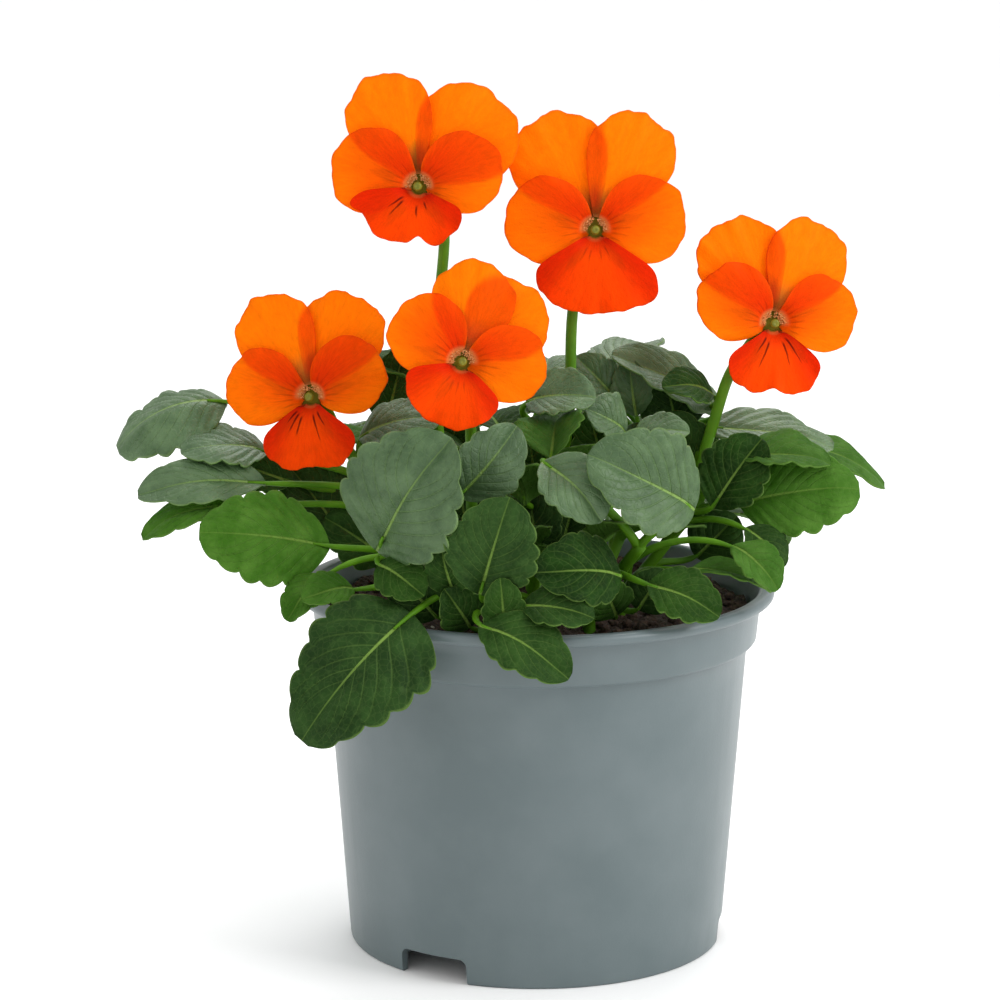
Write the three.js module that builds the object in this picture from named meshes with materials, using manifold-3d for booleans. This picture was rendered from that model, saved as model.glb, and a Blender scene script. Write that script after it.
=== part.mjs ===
// A pansy in a twelve-centimetre nursery pot: pot, soil, nine leafy shoots and five orange blooms.
// Millimetres, +Z up. The pot's axis is the working axis, the viewer's side is -Y, and the finished
// group is shifted so that the middle of its box stands over the frame's origin.
import * as THREE from "three";
import { mergeVertices } from "three/addons/utils/BufferGeometryUtils.js";
import Module from "manifold-3d";

// ---------- driving dimensions ----------
const POT_HEIGHT = 91;
const LIP_RADIUS = 60;
const LIP_HEIGHT = 2.8;
const COLLAR_TOP_RADIUS = 56.2;
const COLLAR_BOTTOM_RADIUS = 55.3;
const SHOULDER_HEIGHT = 77.5;
const BODY_TOP_RADIUS = 53;
const BODY_BOTTOM_RADIUS = 47.1;
const WALL = 1.2;
const FOOT_THICKNESS = 2.2;
const FLOOR_HEIGHT = 4.4;
const POT_SIDES = 30;
const NOTCH_WIDTH = 19;
const NOTCH_HEIGHT = 6.4;
const NOTCH_CORNER = 2;
const NOTCH_ANGLES = [-123, -3, 117]; // degrees round the axis from +X
const CLEARANCE = 0.35;
const SCRAP = 0.5; // mm3, the most that a join may leave loose and that is dropped
const SOIL_TOP = 83.5;
const SOIL_SLOPE = 0.05; // rise towards the back, mm per mm
const SOIL_SIDES = 16;
const ROOT_DEPTH = 8;
const STEM_RADIUS = 1.7;
const HOLE_RADIUS = 2.6;
const STALK_RADIUS = 1.25;
const PETIOLE_RADIUS = 0.95;
const LEAF_THICKNESS = 0.8;
const LARGE_LEAF = 23.5; // wider blades are folded along a midrib
const SMALL_LEAF = 17.5; // narrower blades carry three teeth a side, others four
const TOOTH_DEPTH = 0.2; // of the half width
const SUNK = 0.14; // share of the blade that its petiole runs into
const TOOTH_LEAN = 0.35; // towards the tip, of half a tooth
const PETAL_THICKNESS = 0.9;
const THROAT_RADIUS = 1.7;
const THROAT_DEPTH = 3.4;
const CUP_RISE = 0.9;
const SPUR_LENGTH = 3.2;
const NECK = 6;
const CLAW_LENGTH = 13;
const CLAW_SHARE = 0.35;
const PETAL_REACH = 28;
const SEPAL_LENGTH = 12.5;
const SEPAL_NOTCH = 2.6;

const COLOURS = {
  pot: "#71808a",
  soil: "#2e231b",
  leaf: "#3f6b2e",
  petal: "#ff6a00",
  stigma: "#9aa82e",
};

// Each shoot's stem: where it stands in the soil, then the points that it climbs through.
const SHOOTS = {
  left: [[-15, -5], [-22, -7, 100], [-37, -11, 113]],
  front_left: [[-11, -17], [-16, -25, 96], [-25, -33, 105]],
  front: [[0, -22], [-1, -29, 96], [0, -36, 106]],
  front_right: [[13, -17], [18, -24, 96], [25, -31, 107]],
  right: [[21, -4], [31, -4, 100], [41, -5, 113]],
  back_right: [[16, 12], [23, 20, 102], [30, 28, 120]],
  back: [[-1, 18], [-2, 26, 102], [-3, 36, 121]],
  back_left: [[-16, 11], [-23, 19, 102], [-32, 27, 119]],
  centre: [[1, -2], [2, -3, 104], [4, -3, 126]],
};

// Leaves that show from the front. Each row: shoot, blade's base, blade's tip, the way the upper face
// looks, width, arch of the midrib (share of the length) and fold (+ for a trough, - for a roof).
const LEAVES = [
  ["left", [-77, -4, 138], [-104, -7, 127], [-0.2, -0.5, 0.8], 24, 0.2, -0.5],
  ["left", [-66, -14, 127], [-87, -18, 128], [0, -0.4, 0.9], 19, 0.12, -0.1],
  ["left", [-66, -23, 122], [-97, -25, 119], [0, -0.6, 0.8], 17.4, 0.1, 0.15],
  ["left", [-72, -26, 116], [-96, -27, 108], [-0.1, -0.5, 0.9], 14, 0.14, 0.1],
  ["left", [-47, -14, 104], [-61, -8, 122], [0.3, -0.9, 0.3], 20, 0.1, 0.15],
  ["left", [-44, -11, 130], [-23, -16, 136], [0, -0.6, 0.8], 17, 0.12, -0.1],
  ["front_left", [-50, -32, 107], [-81, -38, 112], [-0.1, -0.85, 0.5], 25, 0.1, -0.2],
  ["front_left", [-51, -40, 102], [-60, -46, 92], [-0.4, -0.7, 0.5], 11, 0.1, 0.1],
  ["front_left", [-44, -42, 99], [-56, -49, 98], [-0.1, -0.7, 0.7], 11, 0.1, 0.15],
  ["front_left", [-39, -43, 108], [-21, -51, 137], [-0.25, -0.9, 0.3], 33, 0.1, 0.15],
  ["front_left", [-30, -55, 96], [-56, -64, 67.5], [-0.2, -0.85, 0.5], 33, 0.12, -0.15, 0.65],
  ["front_left", [-38, -47, 106], [-27, -54, 100], [0, -0.8, 0.6], 13, 0.1, 0.1],
  ["front_left", [-19, -42, 121], [-5, -41, 138], [0.4, -0.85, 0.3], 17, 0.1, 0.2],
  ["front", [-14, -54, 100], [-7, -58, 124], [-0.1, -1, 0.1], 23, 0.06, 0.1],
  ["front", [-11, -60, 93], [7, -67, 83], [0.1, -0.7, 0.7], 17, 0.12, 0.1],
  ["front", [20, -46, 103], [-1, -56, 106], [0, -0.85, 0.5], 19, 0.12, 0.15],
  ["front", [-4, -56, 98], [13, -60, 96], [0.1, -0.7, 0.7], 13, 0.12, 0.1],
  ["front", [-20, -50, 99], [-23, -53, 112], [-0.3, -0.9, 0.2], 11, 0.08, 0.1],
  ["front_right", [38, -37, 117], [12, -50, 133], [0, -0.9, 0.45], 26, 0.1, 0.12],
  ["front_right", [26, -46, 101], [43, -50, 94], [0.2, -0.75, 0.65], 16, 0.1, 0.15],
  ["front_right", [1, -42, 130], [15, -50, 117], [0.2, -0.8, 0.55], 17, 0.14, 0.1],
  ["front_right", [47, -30, 107], [58, -35, 97], [0.4, -0.6, 0.6], 13, 0.14, 0.1],
  ["right", [50, -10, 113], [79, -15, 118], [0.1, -0.8, 0.6], 24, 0.14, -0.2],
  ["right", [54, 5, 119], [88, 8, 112], [0.1, -0.25, 1], 18, 0.24, -0.15],
  ["right", [42, 3, 131], [74, 0, 126], [0, -0.4, 0.9], 22, 0.1, -0.1],
  ["right", [50, -12, 125], [72, -14, 124], [0, -0.35, 1], 17, 0.12, 0.1],
  ["right", [43, -15, 113], [55, -13, 130], [-0.3, -0.9, 0.3], 19, 0.08, 0.15],
  ["right", [51, -19, 109], [60, -24, 100], [0.4, -0.6, 0.6], 12, 0.1, 0.1],
  ["right", [37, -30, 101], [57, -27, 95], [0.1, -0.3, 1], 10, 0.1, 0.2],
  ["right", [41, 3, 116], [33, 0, 134], [0, -1, 0.2], 16, 0.06, 0.1],
  ["centre", [-3, -18, 140], [14, -22, 142], [0, -0.6, 0.8], 16, 0.12, 0.1],
  ["centre", [3, -32, 129], [5, -20, 137], [0, 0.5, 0.85], 18, 0.08, 0.45],
  ["centre", [22, -11, 131], [12, -16, 138], [0, -0.7, 0.7], 14, 0.12, 0.1],
  ["centre", [23, -16, 130], [37, -19, 133], [0.1, -0.5, 0.85], 12, 0.12, 0.2],
  ["centre", [6, 4, 97], [11, 2, 118], [0, -1, 0.2], 16, 0.06, 0.1],
  ["centre", [8, 9, 112], [10, 7, 131], [0, -1, 0.3], 16, 0.06, 0.1],
  ["back_right", [47, 12, 133], [19, 6, 148], [0, -0.55, 0.85], 21, 0.12, 0.1],
  ["back_right", [44, -1, 139], [31, -7, 142], [0, -0.6, 0.8], 13, 0.12, 0.1],
  ["back_right", [20, 8, 136], [10, 7, 147], [0, -0.9, 0.4], 12, 0.08, 0.1],
  ["back_right", [25, 6, 132], [23, 8, 146], [-0.2, -1, 0.2], 11, 0.06, 0.15],
];

// The other leaves stand by rule in tiers round the pot's axis: the blade's distance from the axis,
// height, reach, droop of the tip, width, and how far the upper face turns outwards.
const TIERS = {
  low: { inner: 40, z: 103, reach: 34, droop: 9, width: 24, outward: 0.35 },
  middle: { inner: 36, z: 118, reach: 30, droop: 4, width: 23, outward: 0.35 },
  high: { inner: 30, z: 133, reach: 25, droop: -6, width: 20, outward: 0.4 },
  heart: { inner: 24, z: 99, reach: 19, droop: -9, width: 16, outward: 0.8 },
  crown: { inner: 14, z: 114, reach: 17, droop: -12, width: 16, outward: 0.9 },
};
const TIER_LIFT = 5; // every second leaf stands this much higher than its neighbour
const TIER_LEAVES = [
  ["back_right", 28, "low"],
  ["back_right", 45, "middle"],
  ["back_right", 62, "low"],
  ["back_right", 56, "high"],
  ["back", 92, "low"],
  ["back", 79, "middle"],
  ["back", 86, "high"],
  ["back", 104, "middle"],
  ["back_left", 122, "low"],
  ["back_left", 136, "middle"],
  ["back_left", 128, "high"],
  ["back_left", 165, "middle"],
  ["back_left", 152, "low"],
  ["back_left", 156, "high"],
  ["left", 188, "heart"],
  ["left", 196, "crown"],
  ["front_left", 222, "heart"],
  ["front", 262, "heart"],
  ["front", 284, "heart"],
  ["front_right", 306, "heart"],
  ["right", 346, "heart"],
  ["right", 356, "crown"],
  ["centre", 258, "crown"],
  ["centre", 304, "crown"],
];

// Blooms: eye, the way it faces, where its stalk leaves the shoot and passes, and its five petals.
// A petal is [angle clockwise from up, length, half spread in degrees, fullness, height of its layer].
const BLOOMS = {
  top_left: {
    shoot: "left",
    eye: [-29.1, -16, 192.3],
    face: [-0.12, -0.97, 0.18],
    stalk: [[-17, -5, 96], [-24.5, -8, 132], [-24, -8, 161], [-23, -9, 184]],
    petals: {
      upper_back: [35, 28, 60, 0.4, -3],
      upper_front: [-22, 30, 56, 0.55, -1.5],
      left: [-72, 22.3, 80, 0.75, 0],
      right: [80, 21, 75, 0.6, 0],
      lip: [190, 16, 74, 0.12, 1.5],
    },
  },
  top_middle: {
    shoot: "centre",
    eye: [14, -14, 181.5],
    face: [0, -0.98, 0.16],
    stalk: [[2.4, -3, 107], [7.6, -7, 132], [8.6, -9, 160], [11, -7, 176]],
    petals: {
      upper_back: [-33, 30, 60, 0.4, -3],
      upper_front: [27, 31, 52, 0.45, -1.5],
      left: [-76, 22.5, 80, 0.65, 0],
      right: [84, 22.4, 72, 0.55, 0],
      lip: [180, 21.3, 64, 0.14, 1.5],
    },
  },
  right: {
    shoot: "right",
    eye: [58.7, -6, 157.4],
    face: [0.18, -0.95, 0.2],
    stalk: [[36, -4, 106], [44, -1, 132], [48, 0, 144], [54, 1, 153]],
    petals: {
      upper_back: [-28, 28.3, 56, 0.45, -3],
      upper_front: [25, 29, 53, 0.55, -1.5],
      left: [-63, 21, 76, 0.65, 0],
      right: [78, 21, 76, 0.65, 0],
      lip: [185, 18.8, 62, 0.14, 1.5],
    },
  },
  left: {
    shoot: "left",
    eye: [-55.7, -20, 141.5],
    face: [-0.18, -0.95, 0.2],
    stalk: [[-33, -10, 110], [-46, -11, 126], [-53, -12, 137]],
    petals: {
      upper_back: [25, 27.5, 54, 0.45, -3],
      upper_front: [-28, 28, 53, 0.5, -1.5],
      left: [-78, 20.7, 77, 0.65, 0],
      right: [62, 20.5, 75, 0.62, 0],
      lip: [175, 19, 62, 0.14, 1.5],
    },
  },
  front: {
    shoot: "front_left",
    eye: [-17.9, -40, 153.5],
    face: [0.1, -0.96, 0.26],
    stalk: [[-16, -25, 95], [-16, -27, 122], [-17, -31, 148]],
    petals: {
      upper_back: [64, 23.5, 58, 0.45, -3],
      upper_front: [10, 25, 55, 0.5, -1.5],
      left: [-52, 20.5, 70, 0.62, 0],
      right: [92, 20.5, 74, 0.5, 0],
      lip: [197, 17.2, 65, 0.14, 1.5],
    },
  },
};
const LIP_NOTCH = { top_left: 0.1, top_middle: 0.06, right: 0.16, left: 0.13, front: 0 };

// ---------- solids ----------
const wasm = await Module();
wasm.setup();

const toRadians = THREE.MathUtils.degToRad;
const vec = (p) => new THREE.Vector3(...p);

// Join or cut closed geometries; every solid here is a manifold-3d body until it becomes a mesh.
function solidOf(geometry) {
  const bare = geometry.clone();
  bare.deleteAttribute("normal");
  bare.deleteAttribute("uv");
  const merged = mergeVertices(bare, 1e-4);
  const triVerts = new Uint32Array(merged.index.array);
  const vertProperties = merged.attributes.position.array;
  return new wasm.Manifold(new wasm.Mesh({ numProp: 3, vertProperties, triVerts }));
}

function geometryOf(solid) {
  const mesh = solid.getMesh();
  const geometry = new THREE.BufferGeometry();
  geometry.setAttribute("position", new THREE.BufferAttribute(mesh.vertProperties, 3));
  geometry.setIndex(new THREE.BufferAttribute(mesh.triVerts, 1));
  geometry.computeVertexNormals();
  return geometry;
}

const join = (solids) => solids.reduce((whole, piece) => whole.add(piece));

// A closed body from a grid of points on its front face and the same grid moved back by its
// thickness: both faces are split into the same triangles, so a waved blade never cuts itself.
function slab(front, back) {
  const rows = front.length;
  const columns = front[0].length;
  const points = [...front.flat(), ...back.flat()];
  const at = (i, j) => i * columns + j;
  const behind = rows * columns;
  const faces = [];
  const quad = (a, b, c, d) => faces.push(a, b, c, a, c, d);
  for (let i = 0; i < rows - 1; i++) {
    for (let j = 0; j < columns - 1; j++) {
      const [a, b, c, d] = [at(i, j), at(i + 1, j), at(i + 1, j + 1), at(i, j + 1)];
      quad(a, b, c, d);
      faces.push(behind + a, behind + c, behind + b, behind + a, behind + d, behind + c);
    }
  }
  const rim = [];
  for (let j = 0; j < columns - 1; j++) rim.push(at(0, j));
  for (let i = 0; i < rows - 1; i++) rim.push(at(i, columns - 1));
  for (let j = columns - 1; j > 0; j--) rim.push(at(rows - 1, j));
  for (let i = rows - 1; i > 0; i--) rim.push(at(i, 0));
  rim.forEach((a, k) => {
    const b = rim[(k + 1) % rim.length];
    quad(a, b, behind + b, behind + a);
  });
  return bodyFrom(points, faces);
}

// A closed body from rings of equal count, with a fan over each end.
function loft(rings) {
  const sides = rings[0].length;
  const points = rings.flat();
  const faces = [];
  for (let i = 0; i < rings.length - 1; i++) {
    for (let j = 0; j < sides; j++) {
      const a = i * sides + j;
      const b = i * sides + ((j + 1) % sides);
      faces.push(a, b, b + sides, a, b + sides, a + sides);
    }
  }
  for (const [end, turned] of [[0, true], [rings.length - 1, false]]) {
    const centre = points.length;
    points.push(rings[end].reduce((sum, p) => sum.add(p), new THREE.Vector3()).divideScalar(sides));
    for (let j = 0; j < sides; j++) {
      const a = end * sides + j;
      const b = end * sides + ((j + 1) % sides);
      if (turned) faces.push(b, a, centre);
      else faces.push(a, b, centre);
    }
  }
  return bodyFrom(points, faces);
}

function bodyFrom(points, faces) {
  const geometry = new THREE.BufferGeometry().setFromPoints(points);
  geometry.setIndex(faces);
  const solid = solidOf(geometry);
  if (solid.volume() > 0) return solid;
  for (let i = 0; i < faces.length; i += 3) [faces[i + 1], faces[i + 2]] = [faces[i + 2], faces[i + 1]];
  geometry.setIndex(faces);
  return solidOf(geometry);
}

// A round stalk of few sides along a curve.
function tube(curve, radius, sides, steps) {
  const section = new THREE.Shape();
  for (let k = 0; k < sides; k++) {
    const angle = (2 * Math.PI * k) / sides;
    if (k === 0) section.moveTo(radius, 0);
    else section.lineTo(radius * Math.cos(angle), radius * Math.sin(angle));
  }
  return solidOf(new THREE.ExtrudeGeometry(section, { steps, extrudePath: curve, bevelEnabled: false }));
}

// ---------- pot ----------
function pot() {
  const taper = (z) => BODY_BOTTOM_RADIUS + ((BODY_TOP_RADIUS - BODY_BOTTOM_RADIUS) * z) / SHOULDER_HEIGHT;
  const lipBottom = POT_HEIGHT - LIP_HEIGHT;
  const inside = COLLAR_BOTTOM_RADIUS - WALL;
  const profile = [
    [BODY_BOTTOM_RADIUS - FOOT_THICKNESS, 0],
    [BODY_BOTTOM_RADIUS - 0.5, 0],
    [BODY_BOTTOM_RADIUS, 0.8],
    [BODY_TOP_RADIUS, SHOULDER_HEIGHT],
    [COLLAR_BOTTOM_RADIUS - 0.4, SHOULDER_HEIGHT],
    [COLLAR_BOTTOM_RADIUS, SHOULDER_HEIGHT + 0.6],
    [COLLAR_TOP_RADIUS, lipBottom],
    [LIP_RADIUS - 0.5, lipBottom],
    [LIP_RADIUS, lipBottom + 0.7],
    [LIP_RADIUS - 1, POT_HEIGHT],
    [LIP_RADIUS - 3, POT_HEIGHT],
    [COLLAR_TOP_RADIUS - WALL, POT_HEIGHT - 1.4],
    [inside, SHOULDER_HEIGHT + WALL],
    [BODY_TOP_RADIUS - WALL, SHOULDER_HEIGHT + WALL],
    [taper(FLOOR_HEIGHT + WALL) - WALL, FLOOR_HEIGHT + WALL],
    [0, FLOOR_HEIGHT + WALL],
    [0, FLOOR_HEIGHT],
    [BODY_BOTTOM_RADIUS - FOOT_THICKNESS, FLOOR_HEIGHT],
    [BODY_BOTTOM_RADIUS - FOOT_THICKNESS, 0],
  ];
  const shell = new THREE.LatheGeometry(profile.map(([r, z]) => new THREE.Vector2(r, z)), POT_SIDES);
  shell.rotateX(Math.PI / 2);
  let solid = solidOf(shell);
  if (solid.volume() < 0) throw new Error("the pot's profile runs the wrong way round");
  for (const angle of NOTCH_ANGLES) solid = solid.subtract(notch(angle));
  return solid;
}

// A drain notch through the foot and the floor's edge, with rounded upper corners.
function notch(angle) {
  const half = NOTCH_WIDTH / 2;
  const outline = new THREE.Shape();
  outline.moveTo(-half, -1);
  outline.lineTo(half, -1);
  outline.lineTo(half, NOTCH_HEIGHT - NOTCH_CORNER);
  const arcHeight = NOTCH_HEIGHT - NOTCH_CORNER;
  outline.absarc(half - NOTCH_CORNER, arcHeight, NOTCH_CORNER, 0, Math.PI / 2, false);
  outline.lineTo(NOTCH_CORNER - half, NOTCH_HEIGHT);
  outline.absarc(NOTCH_CORNER - half, arcHeight, NOTCH_CORNER, Math.PI / 2, Math.PI, false);
  const cutter = new THREE.ExtrudeGeometry(outline, { depth: 12, bevelEnabled: false, curveSegments: 3 });
  cutter.rotateX(Math.PI / 2);
  cutter.rotateZ(Math.PI / 2);
  cutter.translate(BODY_BOTTOM_RADIUS - FOOT_THICKNESS - 4, 0, 0);
  cutter.rotateZ(toRadians(angle));
  return solidOf(cutter);
}

// ---------- soil ----------
function soilHeight(x, y) {
  const bumps = 0.8 * Math.sin(0.31 * x + 1) * Math.cos(0.27 * y) + 0.5 * Math.sin(0.6 * x - 0.5 * y);
  return SOIL_TOP + SOIL_SLOPE * y + bumps;
}

function soil() {
  const ring = (radius, height) =>
    Array.from({ length: SOIL_SIDES }, (_, k) => {
      const angle = (2 * Math.PI * k) / SOIL_SIDES;
      const x = radius * Math.cos(angle);
      const y = radius * Math.sin(angle);
      return new THREE.Vector3(x, y, height ?? soilHeight(x, y));
    });
  const floor = FLOOR_HEIGHT + WALL + CLEARANCE;
  const ledge = SHOULDER_HEIGHT + WALL + CLEARANCE;
  const low = BODY_TOP_RADIUS - WALL - CLEARANCE - 0.2;
  const high = COLLAR_BOTTOM_RADIUS - WALL - CLEARANCE - 0.2;
  const bottom = BODY_BOTTOM_RADIUS - WALL - CLEARANCE - 0.2;
  let solid = loft([
    ring(bottom, floor),
    ring(low, SHOULDER_HEIGHT),
    ring(low, ledge),
    ring(high, ledge),
    ring(high),
    ring(40),
    ring(22),
  ]);
  for (const [[x, y]] of Object.values(SHOOTS)) {
    const top = SOIL_TOP + 12;
    const bottomOfHole = SOIL_TOP - ROOT_DEPTH - CLEARANCE;
    const hole = new THREE.CylinderGeometry(HOLE_RADIUS, HOLE_RADIUS, top - bottomOfHole, 6);
    hole.rotateX(Math.PI / 2);
    hole.translate(x, y, (top + bottomOfHole) / 2);
    solid = solid.subtract(solidOf(hole));
  }
  return solid;
}

// ---------- leaves ----------
// Half width of a blade at u along its midrib, as a share of its greatest half width: drawn in at
// the base and round at the tip.
function leafOutline(u, belly) {
  const swell = Math.sin(Math.PI * Math.min(u, 0.99) ** belly);
  return Math.max(0.1, swell ** (0.8 - 0.35 * u));
}

function leafBlade(base, tip, up, width, arch, fold, belly) {
  const along = tip.clone().sub(base);
  const length = along.length();
  const forward = along.clone().normalize();
  const side = new THREE.Vector3().crossVectors(forward, up);
  const large = width > LARGE_LEAF;
  const teeth = width > SMALL_LEAF ? 4 : 3;
  const across = large ? [-1, 0, 1] : [-1, 1];
  const front = [];
  const back = [];
  for (let k = 0; k <= 2 * teeth; k++) {
    const isTooth = k % 2 === 1;
    const u = (k + (isTooth ? TOOTH_LEAN : 0)) / (2 * teeth);
    const half = (width / 2) * leafOutline(u, belly) * (isTooth ? 1 : 1 - TOOTH_DEPTH);
    const slope = arch * 4 * (1 - 2 * u);
    const normal = up.clone().addScaledVector(forward, -slope).normalize();
    const rise = length * arch * 4 * u * (1 - u);
    const spine = base.clone().addScaledVector(along, u).addScaledVector(up, rise);
    const row = across.map((v) =>
      spine
        .clone()
        .addScaledVector(side, v * half)
        .addScaledVector(up, large ? fold * Math.abs(v) * half : 0),
    );
    front.push(row);
    back.push(row.map((p) => p.clone().addScaledVector(normal, -LEAF_THICKNESS)));
  }
  return slab(front, back);
}

// The petiole leaves the stem at the height that a short climb to the blade asks for.
function leafOn(stem, [base, tip, faceWay, width, arch, fold, belly = 0.9]) {
  const from = vec(base);
  const to = vec(tip);
  const along = to.clone().sub(from);
  const up = vec(faceWay).projectOnPlane(along.clone().normalize()).normalize();
  const blade = leafBlade(from, to, up, width, arch, fold, belly);
  const crown = stem.getPoint(1);
  const reach = Math.hypot(from.x - crown.x, from.y - crown.y);
  const wanted = from.z - 0.55 * reach;
  let start = stem.getPoint(0.35);
  for (let t = 0.35; t <= 0.98; t += 0.03) {
    const p = stem.getPoint(t);
    if (Math.abs(p.z - wanted) < Math.abs(start.z - wanted)) start = p;
  }
  const gap = from.distanceTo(start);
  const rise = along.length() * arch * 4 * SUNK * (1 - SUNK) - 0.9 * LEAF_THICKNESS;
  const end = from.clone().addScaledVector(along, SUNK).addScaledVector(up, rise);
  const arrival = along.normalize().addScaledVector(up, 3 * arch).normalize();
  const outwards = from.clone().sub(start).setZ(0).normalize();
  const climb = new THREE.Vector3(0, 0, 1).addScaledVector(outwards, 0.5).normalize();
  const path = new THREE.CubicBezierCurve3(
    start,
    start.clone().addScaledVector(climb, 0.4 * gap),
    end.clone().addScaledVector(arrival, -0.3 * gap - 3),
    end,
  );
  return [blade, tube(path, PETIOLE_RADIUS, 3, gap > 32 ? 3 : 2)];
}

function stemCurve([[x, y], ...climb]) {
  const root = SOIL_TOP - ROOT_DEPTH;
  const straight = [0, 5, 10].map((rise) => new THREE.Vector3(x, y, root + rise));
  return new THREE.CatmullRomCurve3([...straight, ...climb.map(vec)]);
}

function tierLeaves(name) {
  return TIER_LEAVES.flatMap(([owner, angle, key], index) => {
    if (owner !== name) return [];
    const { inner, reach, droop, width, outward } = TIERS[key];
    const z = TIERS[key].z + (index % 2) * TIER_LIFT;
    const x = Math.cos(toRadians(angle));
    const y = Math.sin(toRadians(angle));
    const tip = [x * (inner + reach), y * (inner + reach), z - droop];
    return [[[x * inner, y * inner, z], tip, [x * outward, y * outward, 0.9], width, 0.14, 0.1]];
  });
}

// ---------- blooms ----------
function flowerFrame({ eye, face }) {
  const out = vec(face).normalize();
  const right = new THREE.Vector3().crossVectors(out, new THREE.Vector3(0, 0, 1)).negate().normalize();
  const up = new THREE.Vector3().crossVectors(right, out).negate().normalize();
  const centre = vec(eye);
  return (radius, angle, height) =>
    centre
      .clone()
      .addScaledVector(right, radius * Math.sin(angle))
      .addScaledVector(up, radius * Math.cos(angle))
      .addScaledVector(out, height);
}

// A petal's edge in polar form about the throat, round for side petals and a fan for the lip.
function petalReach(length, fullness, t, notchDepth) {
  const round = Math.cos((Math.PI / 2) * Math.min(Math.abs(t), 1)) ** fullness;
  const dip = notchDepth * Math.exp(-((t / 0.22) ** 2));
  return THROAT_RADIUS + 0.6 + (length - THROAT_RADIUS - 0.6) * round * (1 - dip);
}

// Height of the bloom's face: down into the throat, its outer part curled back in waves. Every petal
// follows it at the distance of its own layer, so that no petal cuts through another.
function petalHeight(radius, turn, layer) {
  const throat = -THROAT_DEPTH * Math.exp(-(((radius - THROAT_RADIUS) / 2.6) ** 2));
  const opened = 1 - Math.exp(-((radius / 3) ** 2));
  const share = radius / PETAL_REACH;
  return throat + layer * opened - 2.6 * share ** 3 + 1.1 * share ** 4 * Math.sin(7 * turn);
}

function petal(place, [angle, length, spread, fullness, layer], notchDepth) {
  const columns = Array.from({ length: 7 }, (_, j) => Math.sin((Math.PI * j) / 6 - Math.PI / 2));
  const point = (radius, t, depth) => {
    const opening = Math.min(1, Math.max(CLAW_SHARE, radius / CLAW_LENGTH));
    const turn = toRadians(angle + spread * t * opening);
    return place(radius, turn, petalHeight(radius, turn, layer) - depth);
  };
  const reach = (t) => petalReach(length, fullness, t, notchDepth);
  const grid = (depth) => [
    columns.map((t) => point(THROAT_RADIUS, t, depth)),
    columns.map((t) => point(Math.min(NECK, 1 + reach(t) / 2), t, depth)),
    columns.map((t) => point(reach(t), t, depth)),
  ];
  return slab(grid(0), grid(PETAL_THICKNESS));
}

// Petals round the throat, with the cup behind them and its short blunt spur.
function bloomPetals(name, bloom) {
  const place = flowerFrame(bloom);
  const ring = (radius, height) =>
    Array.from({ length: 8 }, (_, k) => place(radius, (Math.PI / 4) * k, height));
  const back = -THROAT_DEPTH - PETAL_THICKNESS;
  const spur = [ring(0.9, back - SPUR_LENGTH), ring(1.5, back - SPUR_LENGTH / 2)];
  const cup = loft([...spur, ring(3.1, back), ring(3.3, back + CUP_RISE)]);
  const petals = Object.entries(bloom.petals).map(([key, row]) =>
    petal(place, row, key === "lip" ? LIP_NOTCH[name] : 0),
  );
  return join([cup, ...petals]);
}

function bloomStigma(bloom) {
  const place = flowerFrame(bloom);
  const foot = -THROAT_DEPTH - PETAL_THICKNESS + CUP_RISE + CLEARANCE;
  const ring = (radius, height) =>
    Array.from({ length: 6 }, (_, k) => place(radius, (Math.PI / 3) * k, height));
  const style = [ring(0.5, foot), ring(0.6, foot + 1)];
  return loft([...style, ring(1.15, foot + 2), ring(1.1, foot + 2.8), ring(0.5, foot + 3.3)]);
}

// The stalk climbs behind its flower, hooks forward and ends in five pointed sepals round the spur.
function bloomStalk(bloom) {
  const place = flowerFrame(bloom);
  const back = -THROAT_DEPTH - PETAL_THICKNESS - SPUR_LENGTH - 2 * CLEARANCE;
  const path = new THREE.CatmullRomCurve3([
    ...bloom.stalk.map(vec),
    place(2.5, 0, back - 4),
    place(0, 0, back),
  ]);
  const star = (depth) =>
    Array.from({ length: 5 }, (_, k) => toRadians(72 * k)).flatMap((turn) => [
      place(SEPAL_NOTCH, turn - Math.PI / 5, back - depth),
      place(SEPAL_LENGTH, turn, back + 0.8 - depth),
    ]);
  return tube(path, STALK_RADIUS, 4, 7).add(loft([star(LEAF_THICKNESS), star(0)]));
}

// ---------- assembly ----------
function mesh(name, solid, colour, roughness) {
  const material = new THREE.MeshStandardMaterial({ color: colour, roughness, metalness: 0 });
  const bodies = solid.decompose().sort((a, b) => b.volume() - a.volume());
  const [whole, next] = bodies;
  if (next && next.volume() > SCRAP) throw new Error(name + " is in " + bodies.length + " pieces");
  const made = new THREE.Mesh(geometryOf(whole), material);
  made.name = name;
  return made;
}

function shoot(name, points) {
  const stem = stemCurve(points);
  const shown = LEAVES.filter(([owner]) => owner === name).map((row) => row.slice(1));
  const leaves = [...shown, ...tierLeaves(name)].flatMap((row) => leafOn(stem, row));
  const stalks = Object.values(BLOOMS).filter((bloom) => bloom.shoot === name).map(bloomStalk);
  return join([tube(stem, STEM_RADIUS, 6, 7), ...leaves, ...stalks]);
}

const planter = new THREE.Group();
planter.add(mesh("pot", pot(), COLOURS.pot, 0.45));
planter.add(mesh("soil", soil(), COLOURS.soil, 0.95));
for (const [name, points] of Object.entries(SHOOTS)) {
  planter.add(mesh("shoot_" + name, shoot(name, points), COLOURS.leaf, 0.5));
}
for (const [name, bloom] of Object.entries(BLOOMS)) {
  planter.add(mesh("petals_" + name, bloomPetals(name, bloom), COLOURS.petal, 0.6));
  planter.add(mesh("stigma_" + name, bloomStigma(bloom), COLOURS.stigma, 0.6));
}

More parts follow.
